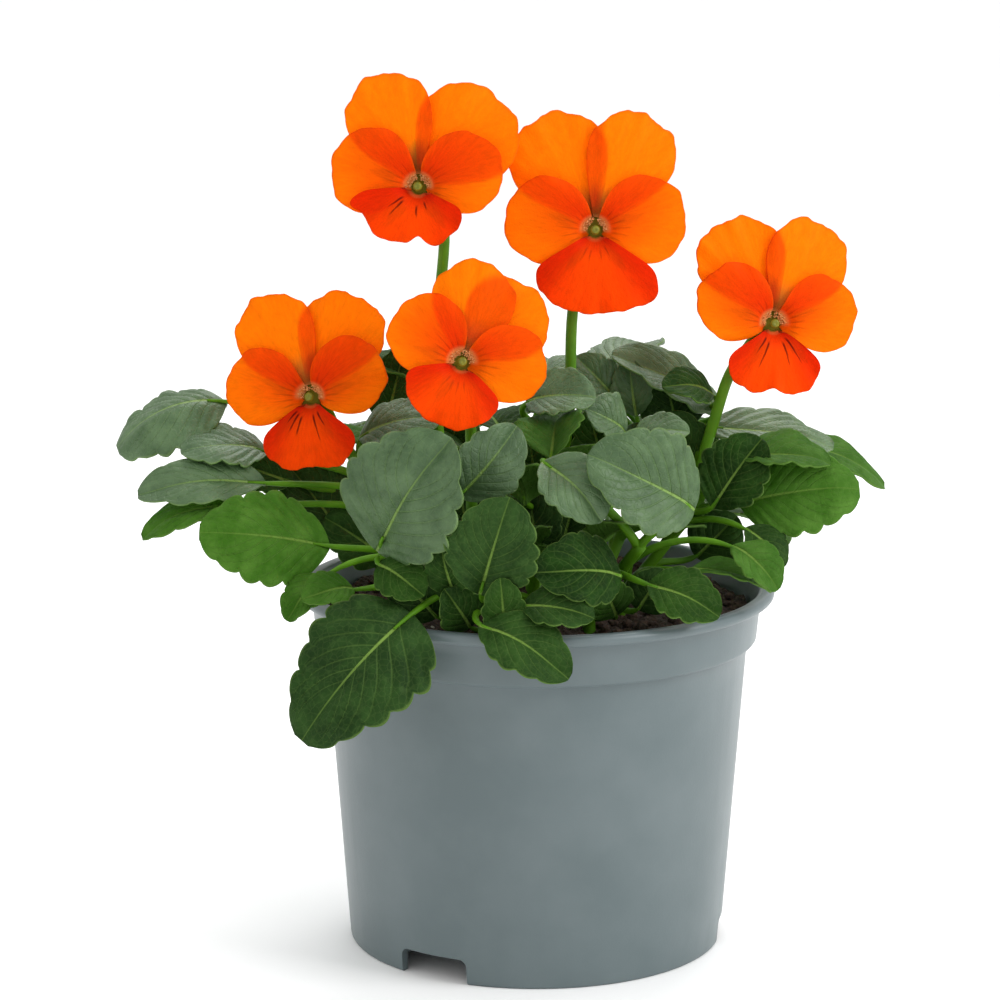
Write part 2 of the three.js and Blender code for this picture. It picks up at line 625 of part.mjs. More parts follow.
// The frame's origin is under the middle of the whole plant's box, on the surface the pot stands on.
const middle = new THREE.Box3().setFromObject(planter).getCenter(new THREE.Vector3());
planter.position.set(-middle.x, -middle.y, 0);

export default planter;
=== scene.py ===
# %% [markdown]
# # A pansy in a nursery pot
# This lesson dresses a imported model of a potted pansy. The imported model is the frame: it says where
# the pot, the soil, the shoots and the blooms are, and each fine piece made here stands for one of
# its nodes and stays where that node is. Lengths are written in millimetres and turned to metres
# in one place.

# %% Load the frame
import math

import bpy
import numpy as np
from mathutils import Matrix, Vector, noise


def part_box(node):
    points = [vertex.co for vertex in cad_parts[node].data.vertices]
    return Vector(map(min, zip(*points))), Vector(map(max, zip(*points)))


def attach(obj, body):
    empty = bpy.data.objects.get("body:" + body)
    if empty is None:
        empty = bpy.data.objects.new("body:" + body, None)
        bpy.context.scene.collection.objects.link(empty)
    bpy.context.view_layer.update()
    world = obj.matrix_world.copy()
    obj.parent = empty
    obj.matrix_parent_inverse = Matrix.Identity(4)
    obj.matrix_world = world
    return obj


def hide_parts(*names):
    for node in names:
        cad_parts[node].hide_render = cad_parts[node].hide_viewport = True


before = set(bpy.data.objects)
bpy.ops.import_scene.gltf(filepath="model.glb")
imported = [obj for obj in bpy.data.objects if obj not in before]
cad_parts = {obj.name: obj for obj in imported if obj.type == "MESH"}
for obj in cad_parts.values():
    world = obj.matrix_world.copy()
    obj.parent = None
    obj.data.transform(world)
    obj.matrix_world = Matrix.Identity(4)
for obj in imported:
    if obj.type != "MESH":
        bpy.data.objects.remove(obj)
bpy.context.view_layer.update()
print("nodes in the frame:", len(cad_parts))

# %% [markdown]
# ## Where things are
# The pot's axis is the middle of the pot's own box, and every table below counts from that axis,
# with the viewer's side towards -Y. One function carries such a point into the frame.

# %% Working coordinates
MM = 0.001
low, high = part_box("pot")
AXIS = np.array([(low.x + high.x) / 2, (low.y + high.y) / 2, 0.0])
POT_HEIGHT = high.z / MM
LIP_RADIUS = (high.x - low.x) / 2 / MM


def in_frame(points):
    """Working millimetres to metres in the frame."""
    return np.asarray(points, float) * MM + AXIS


print("pot height", round(POT_HEIGHT, 2), "mm, lip radius", round(LIP_RADIUS, 2), "mm")

# %% [markdown]
# ## The camera
# The photo is taken from a little above the rim with a long lens, so the pot's mouth shows as a
# flat ellipse and the sides hardly converge. The camera looks along +Y at the middle of the plant.

# %% Camera
LENS_MM, SENSOR_MM = 129.9, 36
CAMERA_DISTANCE = 901
CAMERA_ELEVATION = math.radians(11.5)
LOOK_AT = (-9.1, 0, 111.9)
NEAR, FAR = 0.05, 20

scene = bpy.context.scene
camera_data = bpy.data.cameras.new("camera")
camera_data.lens, camera_data.sensor_width = LENS_MM, SENSOR_MM
camera_data.clip_start, camera_data.clip_end = NEAR, FAR
camera = bpy.data.objects.new("camera", camera_data)
away = CAMERA_DISTANCE * np.array([0, -math.cos(CAMERA_ELEVATION), math.sin(CAMERA_ELEVATION)])
camera.location = Vector(in_frame(np.array(LOOK_AT) + away))
camera.rotation_euler = (math.pi / 2 - CAMERA_ELEVATION, 0, 0)
scene.collection.objects.link(camera)
bpy.context.scene.camera = camera
print("camera at", tuple(round(v, 3) for v in camera.location))

# %% [markdown]
# ## Light
# The photo is a studio shot on white: light comes from everywhere, a little more of it from the
# right and from above, so that petals and leaves glow and the pot's right side is brighter. A white
# surround gives the even part, and two large soft lamps give the direction.

# %% Surround and lamps
SURROUND_STRENGTH = 1.04
LAMP_TARGET = Vector((0, 0, 0.12))
LAMPS = {  # place in metres, side in metres, watts
    "key_right": ((0.85, -0.35, 0.7), 0.5, 6),
    "back_top": ((0.1, 0.6, 0.9), 0.6, 4),
}
scene.view_settings.view_transform = "Standard"
world = bpy.data.worlds.new("white_surround")
world.use_nodes = True
surround = world.node_tree.nodes["Background"].inputs
surround["Color"].default_value = (1, 1, 1, 1)
surround["Strength"].default_value = SURROUND_STRENGTH
scene.world = world
for name, (place, side, watts) in LAMPS.items():
    lamp_data = bpy.data.lights.new(name, "AREA")
    lamp_data.size, lamp_data.energy = side, watts
    lamp = bpy.data.objects.new(name, lamp_data)
    lamp.location = place
    lamp.rotation_euler = (LAMP_TARGET - lamp.location).to_track_quat("-Z", "Y").to_euler()
    scene.collection.objects.link(lamp)
print("lamps:", list(LAMPS))

# %% [markdown]
# ## Colours and nodes
# A colour is written as the sRGB hex value that a colour picker shows, and the shader wants linear
# light, so one function turns it. Every material is a small net of nodes. One function adds a node
# of any kind with its settings and with what feeds it, and a texture's scale is worked out from the
# size in millimetres that its pattern has on the real thing.


# %% Colours and nodes
def linear(hex_colour):
    """An sRGB hex colour as linear red, green and blue."""
    srgb = np.array([int(hex_colour[i : i + 2], 16) for i in (1, 3, 5)]) / 255
    return np.where(srgb <= 0.04045, srgb / 12.92, ((srgb + 0.055) / 1.055) ** 2.4)


def rgba(hex_colour):
    return (*linear(hex_colour), 1.0)


def per_metre(size_mm):
    """The scale at which a pattern's cells are that large."""
    return 1 / (size_mm * MM)


def add(tree, kind, inputs=None, **settings):
    """Adds one node. Inputs are values, sockets, or nodes that feed their first output."""
    made = tree.nodes.new("ShaderNode" + kind)
    for key, value in settings.items():
        setattr(made, key, value)
    for key, value in (inputs or {}).items():
        if isinstance(value, bpy.types.Node):
            value = next(socket for socket in value.outputs if socket.enabled)
        if isinstance(value, bpy.types.NodeSocket):
            tree.links.new(value, made.inputs[key])
        else:
            made.inputs[key].default_value = value
    return made


def new_material(name):
    """A material without nodes yet, and its node tree."""
    material = bpy.data.materials.new(name)
    material.use_nodes = True
    material.node_tree.nodes.clear()
    return material, material.node_tree


def blotched(tree, size_mm, darker, lighter, low=0.0, high=1.0, **texture):
    """Two colours in soft patches of that size, and the noise that mixes them."""
    place = add(tree, "TexCoord").outputs["Object"]
    spots = add(tree, "TexNoise", {"Vector": place, "Scale": per_metre(size_mm), **texture})
    share = add(tree, "MapRange", {"Value": spots, "From Min": low, "From Max": high})
    ends = {"Factor": share, "A": rgba(darker), "B": rgba(lighter)}
    return add(tree, "Mix", ends, data_type="RGBA"), spots


def blotched_material(name, finish, *patches, **texture):
    """A whole plain material: two colours in soft patches, and how it shines."""
    material, tree = new_material(name)
    colour, _ = blotched(tree, *patches, **texture)
    skin = add(tree, "BsdfPrincipled", {"Base Color": colour, **finish})
    add(tree, "OutputMaterial", {"Surface": skin})
    return material


print("1 mm cells have scale", per_metre(1))

# %% [markdown]
# ## Points and faces
# Everything that grows is made from grids of points worked out with numpy: a leaf or petal is a
# sheet, one grid behind another, and a stalk or crumb is a stack of rings. This is quicker to
# change than a sculpted mesh, and the same formula can serve a hundred leaves.


# %% Grids, sheets and tubes
def grid_faces(rows, columns, start=0, closed=False, turned=False):
    """Quads of a grid of points; closed joins its last column to its first."""
    faces = []
    for i in range(rows - 1):
        for j in range(columns if closed else columns - 1):
            k = (j + 1) % columns
            quad = (i * columns + j, i * columns + k, (i + 1) * columns + k, (i + 1) * columns + j)
            faces.append(tuple(start + q for q in (quad[::-1] if turned else quad)))
    return faces


def lidded_rings(rows, sides, turned=False):
    """Faces of a stack of rings with a lid at both ends."""
    first, last = tuple(range(sides)), tuple(range((rows - 1) * sides, rows * sides))
    lids = [first, last[::-1]] if turned else [first[::-1], last]
    return grid_faces(rows, sides, closed=True, turned=turned) + lids


def sheet(front, back):
    """A thin leaf or petal: two grids of points, one behind the other, closed by a rim."""
    rows, columns = front.shape[:2]
    behind = rows * columns
    faces = grid_faces(rows, columns) + grid_faces(rows, columns, behind, turned=True)
    rim = list(range(columns - 1))
    rim += [i * columns + columns - 1 for i in range(rows - 1)]
    rim += [(rows - 1) * columns + j for j in range(columns - 1, 0, -1)]
    rim += [i * columns for i in range(rows - 1, 0, -1)]
    faces += [(b, a, behind + a, behind + b) for a, b in zip(rim, rim[1:] + rim[:1])]
    return np.vstack([front.reshape(-1, 3), back.reshape(-1, 3)]), faces


def unit(vector):
    return vector / np.linalg.norm(vector)


def smoothstep(edge0, edge1, value):
    t = np.clip((value - edge0) / (edge1 - edge0), 0, 1)
    return t * t * (3 - 2 * t)


OFF_ANY_STALK = (0.31, 0.77, 0.55)


def tube(path, radii, sides=10):
    """A round stalk along a path, closed at both ends."""
    path = np.asarray(path, float)
    tangents = np.gradient(path, axis=0)
    aside = unit(np.cross(tangents[0], OFF_ANY_STALK))
    turn = np.linspace(0, 2 * math.pi, sides, endpoint=False)[:, None]
    rings = []
    for centre, tangent, radius in zip(path, tangents, radii):
        tangent = unit(tangent)
        aside = unit(aside - tangent * aside.dot(tangent))
        other = np.cross(tangent, aside)
        rings.append(centre + radius * (np.cos(turn) * aside + np.sin(turn) * other))
    return np.vstack(rings), lidded_rings(len(path), sides)


square = np.zeros((2, 2, 3))
print("a sheet of 2 x 2 points has", len(sheet(square, square)[1]), "faces")


# %% Pieces
class Parts:
    """Points, faces and per-point values of a piece, gathered part by part."""

    def __init__(self):
        self.points, self.faces, self.values, self.count = [], [], {}, 0

    def put(self, points, faces, **values):
        """Adds a part; a value is one for all points, one for each, or one side's of a sheet."""
        points = np.asarray(points, float).reshape(-1, 3)
        self.points.append(points)
        self.faces.extend([tuple(i + self.count for i in face) for face in faces])
        for name, value in values.items():
            value = np.asarray(value, float)
            whole = np.resize(value, (len(points), *value.shape[1:]))
            self.values.setdefault(name, []).append(whole)
        self.count += len(points)

    def piece(self, name, material, slot, *nodes):
        """Makes the object, with smooth faces, riding on the frame's one body."""
        mesh = bpy.data.meshes.new(name)
        mesh.from_pydata(in_frame(np.vstack(self.points)).tolist(), [], self.faces)
        for key, blocks in self.values.items():
            values = np.concatenate(blocks).astype(np.float32)
            kind, field = ("FLOAT", "value") if values.ndim == 1 else ("FLOAT_VECTOR", "vector")
            mesh.attributes.new(key, kind, "POINT").data.foreach_set(field, values.ravel())
        mesh.polygons.foreach_set("use_smooth", [True] * len(mesh.polygons))
        mesh.materials.append(material)
        mesh.update()
        made = bpy.data.objects.new(name, mesh)
        scene.collection.objects.link(made)
        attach(made, "root")
        if nodes:
            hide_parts(*nodes)
        return made


print("pieces are gathered by", Parts.__name__)

# %% [markdown]
# ## The floor
# A plain pale surface under the pot. It is so wide that its far edge lies above the picture.

# %% Floor
FLOOR_HALF = 6.0
floor_paint, tree = new_material("matt_white_paper")
# Paper scatters light evenly, so the floor shows only the pot's soft shadow.
paper = add(tree, "BsdfPrincipled", {"Base Color": rgba("#fdfdfd"), "Roughness": 0.9})
add(tree, "OutputMaterial", {"Surface": paper})
floor_mesh = bpy.data.meshes.new("floor")
corners = [(x * FLOOR_HALF, y * FLOOR_HALF, 0) for x, y in ((-1, -1), (1, -1), (1, 1), (-1, 1))]
floor_mesh.from_pydata(corners, [], [(0, 1, 2, 3)])
floor_mesh.materials.append(floor_paint)
floor = bpy.data.objects.new("floor", floor_mesh)
scene.collection.objects.link(floor)
print("floor", 2 * FLOOR_HALF, "m wide")

# %% [markdown]
# ## The pot
# The real pot is injection-moulded polypropylene, thin and slightly soft, with a rolled lip, a
# collar that steps in to the tapered body, and drain notches cut up from its foot. A turned profile
# gives all of it but the notches, so it is spun round the axis with many sides, and a boolean takes
# the notches away.

# %% Pot profile
COLLAR_TOP = 56.2
COLLAR_BOTTOM = 55.3
SHOULDER = 77.5
BODY_TOP = 53.0
BODY_BOTTOM = 47.1
WALL = 1.2
FOOT = 2.2
FOOT_ROUND = 0.75
FLOOR_HEIGHT = 4.4
LIP_BOTTOM = POT_HEIGHT - 2.8


def arc(radius, z, bend, start, end, steps):
    """A round corner of the profile: its centre, bend radius, and two directions in degrees."""
    turn = np.radians(np.linspace(start, end, steps))
    return [(radius + bend * math.cos(a), z + bend * math.sin(a)) for a in turn]


def body_radius(z):
    return BODY_BOTTOM + (BODY_TOP - BODY_BOTTOM) * z / SHOULDER


collar_rise = LIP_BOTTOM - SHOULDER - 2
collar = [
    (COLLAR_BOTTOM + (COLLAR_TOP - COLLAR_BOTTOM) * s, SHOULDER + 1 + collar_rise * s)
    for s in (0.25, 0.5, 0.75, 1)
]
pot_profile = [
    (BODY_BOTTOM - FOOT, 0),
    *arc(BODY_BOTTOM - FOOT_ROUND, FOOT_ROUND, FOOT_ROUND, -90, 0, 5),
    *[(body_radius(z), z) for z in np.linspace(1.6, SHOULDER - 0.9, 12)],
    *arc(BODY_TOP + 0.8, SHOULDER - 0.8, 0.8, 180, 90, 4),
    *arc(COLLAR_BOTTOM - 0.9, SHOULDER + 0.9, 0.9, -90, 0, 5),
    *collar,
    *arc(COLLAR_TOP + 0.9, LIP_BOTTOM - 0.7, 0.7, 180, 90, 4),
    *arc(LIP_RADIUS - 1.1, LIP_BOTTOM + 1.1, 1.1, -90, 0, 5),
    *arc(LIP_RADIUS - 1.5, POT_HEIGHT - 1.5, 1.5, 0, 90, 6),
    *arc(COLLAR_TOP + 1.1, POT_HEIGHT - 1.6, 1.6, 90, 170, 5),
    (COLLAR_TOP - WALL, POT_HEIGHT - 3.4),
    (COLLAR_BOTTOM - WALL, SHOULDER + WALL + 0.6),
    (COLLAR_BOTTOM - WALL - 0.6, SHOULDER + WALL),
    (BODY_TOP - WALL, SHOULDER + WALL - 0.2),
    (body_radius(40) - WALL, 40),
    (body_radius(FLOOR_HEIGHT) - WALL, FLOOR_HEIGHT + WALL),
    (0.0, FLOOR_HEIGHT + WALL),
    (0.0, FLOOR_HEIGHT),
    (BODY_BOTTOM - FOOT, FLOOR_HEIGHT),
]
print("profile points:", len(pot_profile))

# %% Spin the profile
POT_SIDES = 144


def spin(profile, sides):
    """A closed turned body; points on the axis are made once."""
    points, faces, rings = [], [], []
    turn = np.linspace(0, 2 * math.pi, sides, endpoint=False)
    for radius, z in profile:
        ring = [(radius * math.cos(a), radius * math.sin(a), z) for a in (turn if radius else [0])]
        rings.append([len(points) + j % len(ring) for j in range(sides)])
        points.extend(ring)
    for inner, outer in zip(rings, rings[1:] + rings[:1]):
        for j in range(sides):
            k = (j + 1) % sides
            face = tuple(dict.fromkeys((inner[j], inner[k], outer[k], outer[j])))
            if len(face) > 2:
                faces.append(face)
    return points, faces


def plain_object(name, points, faces):
    mesh = bpy.data.meshes.new(name)
    mesh.from_pydata(in_frame(points).tolist(), [], faces)
    mesh.update()
    made = bpy.data.objects.new(name, mesh)
    scene.collection.objects.link(made)
    return made


shell = plain_object("pot_shell", *spin(pot_profile, POT_SIDES))
print("turned pot:", len(shell.data.polygons), "faces")

# %% Cut the notches
NOTCH_ANGLES = (-123, -3, 117)
NOTCH_WIDTH = 19
NOTCH_HEIGHT = 6.4
NOTCH_CORNER = 2
NOTCH_DEPTH = 12
SHARP_EDGE = math.radians(40)


def notch_cutter(angle):
    """A block with rounded upper corners, across the wall at that angle."""
    half, top = NOTCH_WIDTH / 2, NOTCH_HEIGHT - NOTCH_CORNER
    outline = [(-half, -2), (half, -2)]
    outline += arc(half - NOTCH_CORNER, top, NOTCH_CORNER, 0, 90, 7)
    outline += arc(NOTCH_CORNER - half, top, NOTCH_CORNER, 90, 180, 7)
    inner = BODY_BOTTOM - FOOT - 4
    points = [(r, a, z) for r in (inner, inner + NOTCH_DEPTH) for a, z in outline]
    c, s = math.cos(math.radians(angle)), math.sin(math.radians(angle))
    points = [(c * x - s * y, s * x + c * y, z) for x, y, z in points]
    return points, lidded_rings(2, len(outline))


cutters = [plain_object("cutter", *notch_cutter(angle)) for angle in NOTCH_ANGLES]
for cutter in cutters:
    cut = shell.modifiers.new("notch", "BOOLEAN")
    cut.operation = "DIFFERENCE"
    cut.object = cutter
bpy.context.view_layer.update()
graph = bpy.context.evaluated_depsgraph_get()
pot_mesh = bpy.data.meshes.new_from_object(shell.evaluated_get(graph))
for spare in (shell, *cutters):
    bpy.data.objects.remove(spare)
pot = bpy.data.objects.new("pot_moulded", pot_mesh)
pot_mesh.name = "pot_moulded"
scene.collection.objects.link(pot)
pot_mesh.polygons.foreach_set("use_smooth", [True] * len(pot_mesh.polygons))
pot_mesh.set_sharp_from_angle(angle=SHARP_EDGE)
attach(pot, "root")
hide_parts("pot")
print("pot:", len(pot_mesh.polygons), "faces")

# %% [markdown]
# ### Moulded polypropylene
# Grey polypropylene straight from the mould has a satin skin: broad soft highlights, hardly any
# texture, and faint smudges of water and soil that dull it here and there. Its refraction index is
# 1.49. The smudges are some 20 mm across, and faint upright drag marks 4 mm wide run down the wall.

# %% Pot material
polypropylene, tree = new_material("satin_grey_polypropylene")
grey, _ = blotched(tree, 22.2, "#576466", "#606c6e", 0.38, 0.72, Detail=4, Roughness=0.55)
place = add(tree, "TexCoord").outputs["Object"]
drawn = add(tree, "Mapping", {"Vector": place, "Scale": (1, 1, 0.12)})
streak = add(tree, "TexNoise", {"Vector": drawn, "Scale": per_metre(3.85), "Detail": 2})
dull = add(tree, "MapRange", {"Value": streak, "To Min": 0.3, "To Max": 0.44})
speck = add(tree, "TexNoise", {"Vector": place, "Scale": per_metre(0.556), "Detail": 2})
grained = add(tree, "Bump", {"Height": speck, "Strength": 0.12, "Distance": 0.2 * MM})
satin = {"Base Color": grey, "Roughness": dull, "IOR": 1.49, "Normal": grained}
add(tree, "OutputMaterial", {"Surface": add(tree, "BsdfPrincipled", satin)})
pot_mesh.materials.clear()
pot_mesh.materials.append(polypropylene)
print("pot material:", polypropylene.name)

# %% [markdown]
# ## The soil
# Potting mix is peat fibre in crumbs of one to four millimetres, nearly black where it is moist,
# with a few pale grains of perlite. The ground is a round field of points lifted by noise, because
# a flat disc with bump would show a straight edge at the rim. Loose crumbs and grains are scattered
# on it as small meshes.

# %% Soil ground
SOIL_TOP = 83.5
SOIL_SLOPE = 0.05
SOIL_RADIUS = COLLAR_BOTTOM - WALL - 0.6
SOIL_BOTTOM = FLOOR_HEIGHT + WALL + 0.4
SOIL_RINGS, SOIL_SECTORS = 58, 150


def soil_height(x, y):
    """Soil height: broad bumps, and two sizes of noise for the crumbs."""
    bumps = 0.8 * np.sin(0.31 * x + 1) * np.cos(0.27 * y) + 0.5 * np.sin(0.6 * x - 0.5 * y)
    coarse = noise.fractal(Vector((x * 0.16, y * 0.16, 2.0)), 0.8, 2.2, 4)
    fine = noise.noise(Vector((x * 0.9, y * 0.9, 7.0)))
    return float(SOIL_TOP + SOIL_SLOPE * y + bumps) + 1.3 * coarse + 0.7 * fine


turns = np.linspace(0, 2 * math.pi, SOIL_SECTORS, endpoint=False)
radii = np.sqrt(np.linspace(0.0004, 1, SOIL_RINGS)) * SOIL_RADIUS
ground = [(r * math.cos(a), r * math.sin(a)) for r in radii for a in turns]
sides = [(SOIL_RADIUS, SHOULDER + WALL + 0.5), (BODY_TOP - WALL - 0.6, SHOULDER - 1),
         (BODY_BOTTOM - WALL - 0.4, SOIL_BOTTOM)]
soil_points = [(x, y, soil_height(x, y)) for x, y in ground]
soil_points += [(r * math.cos(a), r * math.sin(a), z) for r, z in sides for a in turns]
soil_parts = Parts()
soil_parts.put(soil_points, lidded_rings(SOIL_RINGS + len(sides), SOIL_SECTORS, turned=True))
print("soil points:", soil_parts.count)

# %% Crumbs and perlite
GRAIN_RINGS, GRAIN_SIDES = 5, 8


def lump(centre, size, squash, seed):
    """A small irregular grain: a ball of few points with each one pushed in or out."""
    points = []
    for i in range(GRAIN_RINGS):
        polar = math.pi * (i + 0.5) / GRAIN_RINGS
        for j in range(GRAIN_SIDES):
            turn = 2 * math.pi * (j + 0.5 * (i % 2)) / GRAIN_SIDES
            flat = math.sin(polar)
            way = Vector((flat * math.cos(turn), flat * math.sin(turn), math.cos(polar)))
            reach = size * (1 + 0.38 * noise.noise(way * 1.9 + Vector((seed, 0, 0))))
            points.append(Vector(centre) + reach * Vector((way.x, way.y, squash * way.z)))
    return points, lidded_rings(GRAIN_RINGS, GRAIN_SIDES, turned=True)


def scatter(count, sizes, seed):
    """Grains lying on the soil, more of them towards the rim, where the soil shows."""
    draw = np.random.default_rng(seed)
    parts = Parts()
    for k in range(count):
        radius = (SOIL_RADIUS - 2.5) * draw.uniform(0.05, 1) ** 0.4
        turn = draw.uniform(0, 2 * math.pi)
        size = draw.uniform(*sizes)
        x, y = radius * math.cos(turn), radius * math.sin(turn)
        centre = (x, y, soil_height(x, y) + 0.3 * size)
        parts.put(*lump(centre, size, draw.uniform(0.55, 0.9), k * 1.7))
    return parts


crumb_parts = scatter(520, (0.5, 1.7), 5)
perlite_parts = scatter(46, (0.35, 0.8), 9)
print("crumb points:", crumb_parts.count, "perlite points:", perlite_parts.count)

# %% [markdown]
# ### Moist peat and perlite
# Milled peat is torn fibre: it swallows light, so it is dark and quite dull, with brown fibres of
# about a millimetre among clods of two or three. Perlite is volcanic glass popped by heat to a pale
# chalky foam, and it stands out from the peat as off-white dots.

# %% Soil materials
peat, tree = new_material("moist_peat_substrate")
brown, clod = blotched(tree, 2.38, "#120d0a", "#5a4334", 0.3, 0.72, Detail=6, Roughness=0.7)
place = add(tree, "TexCoord").outputs["Object"]
fibre = add(tree, "TexVoronoi", {"Vector": place, "Scale": per_metre(1.11)})
height = add(tree, "Math", {0: clod, 1: fibre}, operation="ADD")
rough = add(tree, "Bump", {"Height": height, "Strength": 0.9, "Distance": 1.2 * MM})
torn = add(tree, "BsdfPrincipled", {"Base Color": brown, "Roughness": 0.92, "Normal": rough})
add(tree, "OutputMaterial", {"Surface": torn})

chalky = {"Roughness": 0.8}
perlite = blotched_material("expanded_perlite", chalky, 1.11, "#8d8678", "#d8d4ca", Detail=3)

soil = soil_parts.piece("soil_ground", peat, "soil", "soil")
crumbs = crumb_parts.piece("soil_crumbs", peat, "soil")
grains = perlite_parts.piece("soil_perlite", perlite, "soil")
print("soil pieces:", soil.name, crumbs.name, grains.name)

# %% [markdown]
# ## Where the leaves stand
# A pansy's leaves rise from short leafy shoots, each on its own petiole. The tables give what a
# gardener could measure: where a blade starts and ends, how its face is turned, how wide it is, how
# much it arches, how much it is folded along its midrib and, for one leaf, how low it is widest.
# Nearly the same values, within two millimetres, make the frame's plain leaves, so the fine ones
# lie where those lie.

# %% Shoots and the leaves in view
SHOOTS = {
    "left": [(-15, -5), (-22, -7, 100), (-37, -11, 113)],
    "front_left": [(-11, -17), (-16, -25, 96), (-25, -33, 105)],
    "front": [(0, -22), (-1, -29, 96), (0, -36, 106)],
    "front_right": [(13, -17), (18, -24, 96), (25, -31, 107)],
    "right": [(21, -4), (31, -4, 100), (41, -5, 113)],
    "back_right": [(16, 12), (23, 20, 102), (30, 28, 120)],
    "back": [(-1, 18), (-2, 26, 102), (-3, 36, 121)],
    "back_left": [(-16, 11), (-23, 19, 102), (-32, 27, 119)],
    "centre": [(1, -2), (2, -3, 104), (4, -3, 126)],
}
LEAVES = {
    "left": [
        ((-77, -4, 138), (-104, -7, 127), (-0.2, -0.5, 0.8), 24, 0.2, -0.5),
        ((-66, -14, 127), (-87, -18, 128), (0, -0.4, 0.9), 19, 0.12, -0.1),
        ((-66, -23, 121), (-97, -25, 118.5), (0, -0.6, 0.8), 16.5, 0.08, 0.15),
        ((-72, -26, 116), (-96, -27, 108), (-0.1, -0.5, 0.9), 14, 0.14, 0.1),
        ((-47, -14, 104), (-61, -8, 122), (0.3, -0.9, 0.3), 20, 0.1, 0.15),
        ((-44, -11, 130), (-23, -16, 136), (0, -0.6, 0.8), 17, 0.12, -0.1),
    ],
    "front_left": [
        ((-50, -32, 107), (-81, -38, 112), (-0.1, -0.85, 0.5), 25, 0.1, -0.2),
        ((-51, -40, 102), (-60, -46, 92), (-0.4, -0.7, 0.5), 11, 0.1, 0.1),
        ((-44, -42, 99), (-56, -49, 98), (-0.1, -0.7, 0.7), 11, 0.1, 0.15),
        ((-39, -43, 108), (-21, -51, 137), (-0.25, -0.9, 0.3), 33, 0.1, 0.15),
        ((-30, -55, 96), (-56, -64, 67.5), (-0.2, -0.85, 0.5), 33, 0.12, -0.15, 0.65),
        ((-38, -47, 106), (-27, -54, 100), (0, -0.8, 0.6), 13, 0.1, 0.1),
        ((-19, -42, 121), (-5, -41, 138), (0.4, -0.85, 0.3), 17, 0.1, 0.2),
    ],
    "front": [
        ((-14, -54, 100), (-7, -58, 124), (-0.1, -1, 0.1), 23, 0.06, 0.1),
        ((-14, -58.4, 94), (7, -66.4, 83), (0.1, -0.7, 0.7), 17, 0.12, 0.1),
        ((20, -46, 103), (-1, -56, 106), (0, -0.85, 0.5), 19, 0.12, 0.15),
        ((-4, -56, 98), (13, -60, 96), (0.1, -0.7, 0.7), 13, 0.12, 0.1),
        ((-20, -50, 99), (-23, -53, 112), (-0.3, -0.9, 0.2), 11, 0.08, 0.1),
    ],
    "front_right": [
        ((38, -37, 117), (12, -50, 133), (0, -0.9, 0.45), 26, 0.1, 0.12),
        ((26, -46, 101), (43, -50, 94), (0.2, -0.75, 0.65), 16, 0.1, 0.15),
        ((1, -42, 130), (15, -50, 117), (0.2, -0.8, 0.55), 17, 0.14, 0.1),
        ((47, -30, 107), (58, -35, 97), (0.4, -0.6, 0.6), 13, 0.14, 0.1),
    ],
    "right": [
        ((50, -10, 113), (79, -15, 118), (0.1, -0.8, 0.6), 24, 0.14, -0.2),
        ((54, 5, 119), (87.9, 8, 114), (0.1, -0.25, 1), 18, 0.24, -0.15),
        ((42, 3, 130), (74, 0, 125.5), (0, -0.4, 0.9), 20, 0.08, -0.1),
        ((50, -12, 125), (72, -14, 124), (0, -0.35, 1), 17, 0.12, 0.1),
        ((43, -15, 113), (55, -13, 130), (-0.3, -0.9, 0.3), 19, 0.08, 0.15),
        ((51, -19, 109), (60, -24, 100), (0.4, -0.6, 0.6), 12, 0.1, 0.1),
        ((37, -30, 101), (57, -27, 95), (0.1, -0.3, 1), 10, 0.1, 0.2),
        ((41, 3, 116), (33, 0, 134), (0, -1, 0.2), 16, 0.06, 0.1),
    ],
    "centre": [
        ((-3, -18, 140), (14, -22, 142), (0, -0.6, 0.8), 16, 0.12, 0.1),
        ((3, -32, 129), (5, -20, 137), (0, 0.5, 0.85), 18, 0.08, 0.45),
        ((22, -11, 131), (12, -16, 138), (0, -0.7, 0.7), 14, 0.12, 0.1),
        ((23, -16, 130), (37, -19, 133), (0.1, -0.5, 0.85), 12, 0.12, 0.2),
        ((6, 4, 97), (11, 2, 118), (0, -1, 0.2), 16, 0.06, 0.1),
        ((8, 9, 112), (10, 7, 131), (0, -1, 0.3), 16, 0.06, 0.1),
    ],
    "back_right": [
        ((47, 12, 132), (19, 6, 148), (0, -0.55, 0.85), 18, 0.07, 0.1),
        ((44, -1, 139), (31, -7, 142), (0, -0.6, 0.8), 13, 0.12, 0.1),
        ((20, 8, 136), (10, 7, 147), (0, -0.9, 0.4), 12, 0.08, 0.1),
        ((25, 6, 132), (23, 8, 146), (-0.2, -1, 0.2), 11, 0.06, 0.15),
    ],
}
leaves_in_view = [(shoot, *row) for shoot, rows in LEAVES.items() for row in rows]
print("shoots:", len(SHOOTS), "leaves in view:", len(leaves_in_view))

# %% [markdown]
# ### Leaves by rule, and small inner leaves
# Nobody sees the back of the plant, so its leaves stand by rule, in tiers. Small inner leaves close
# the gaps in the plant's heart, as young leaves do on a real one.

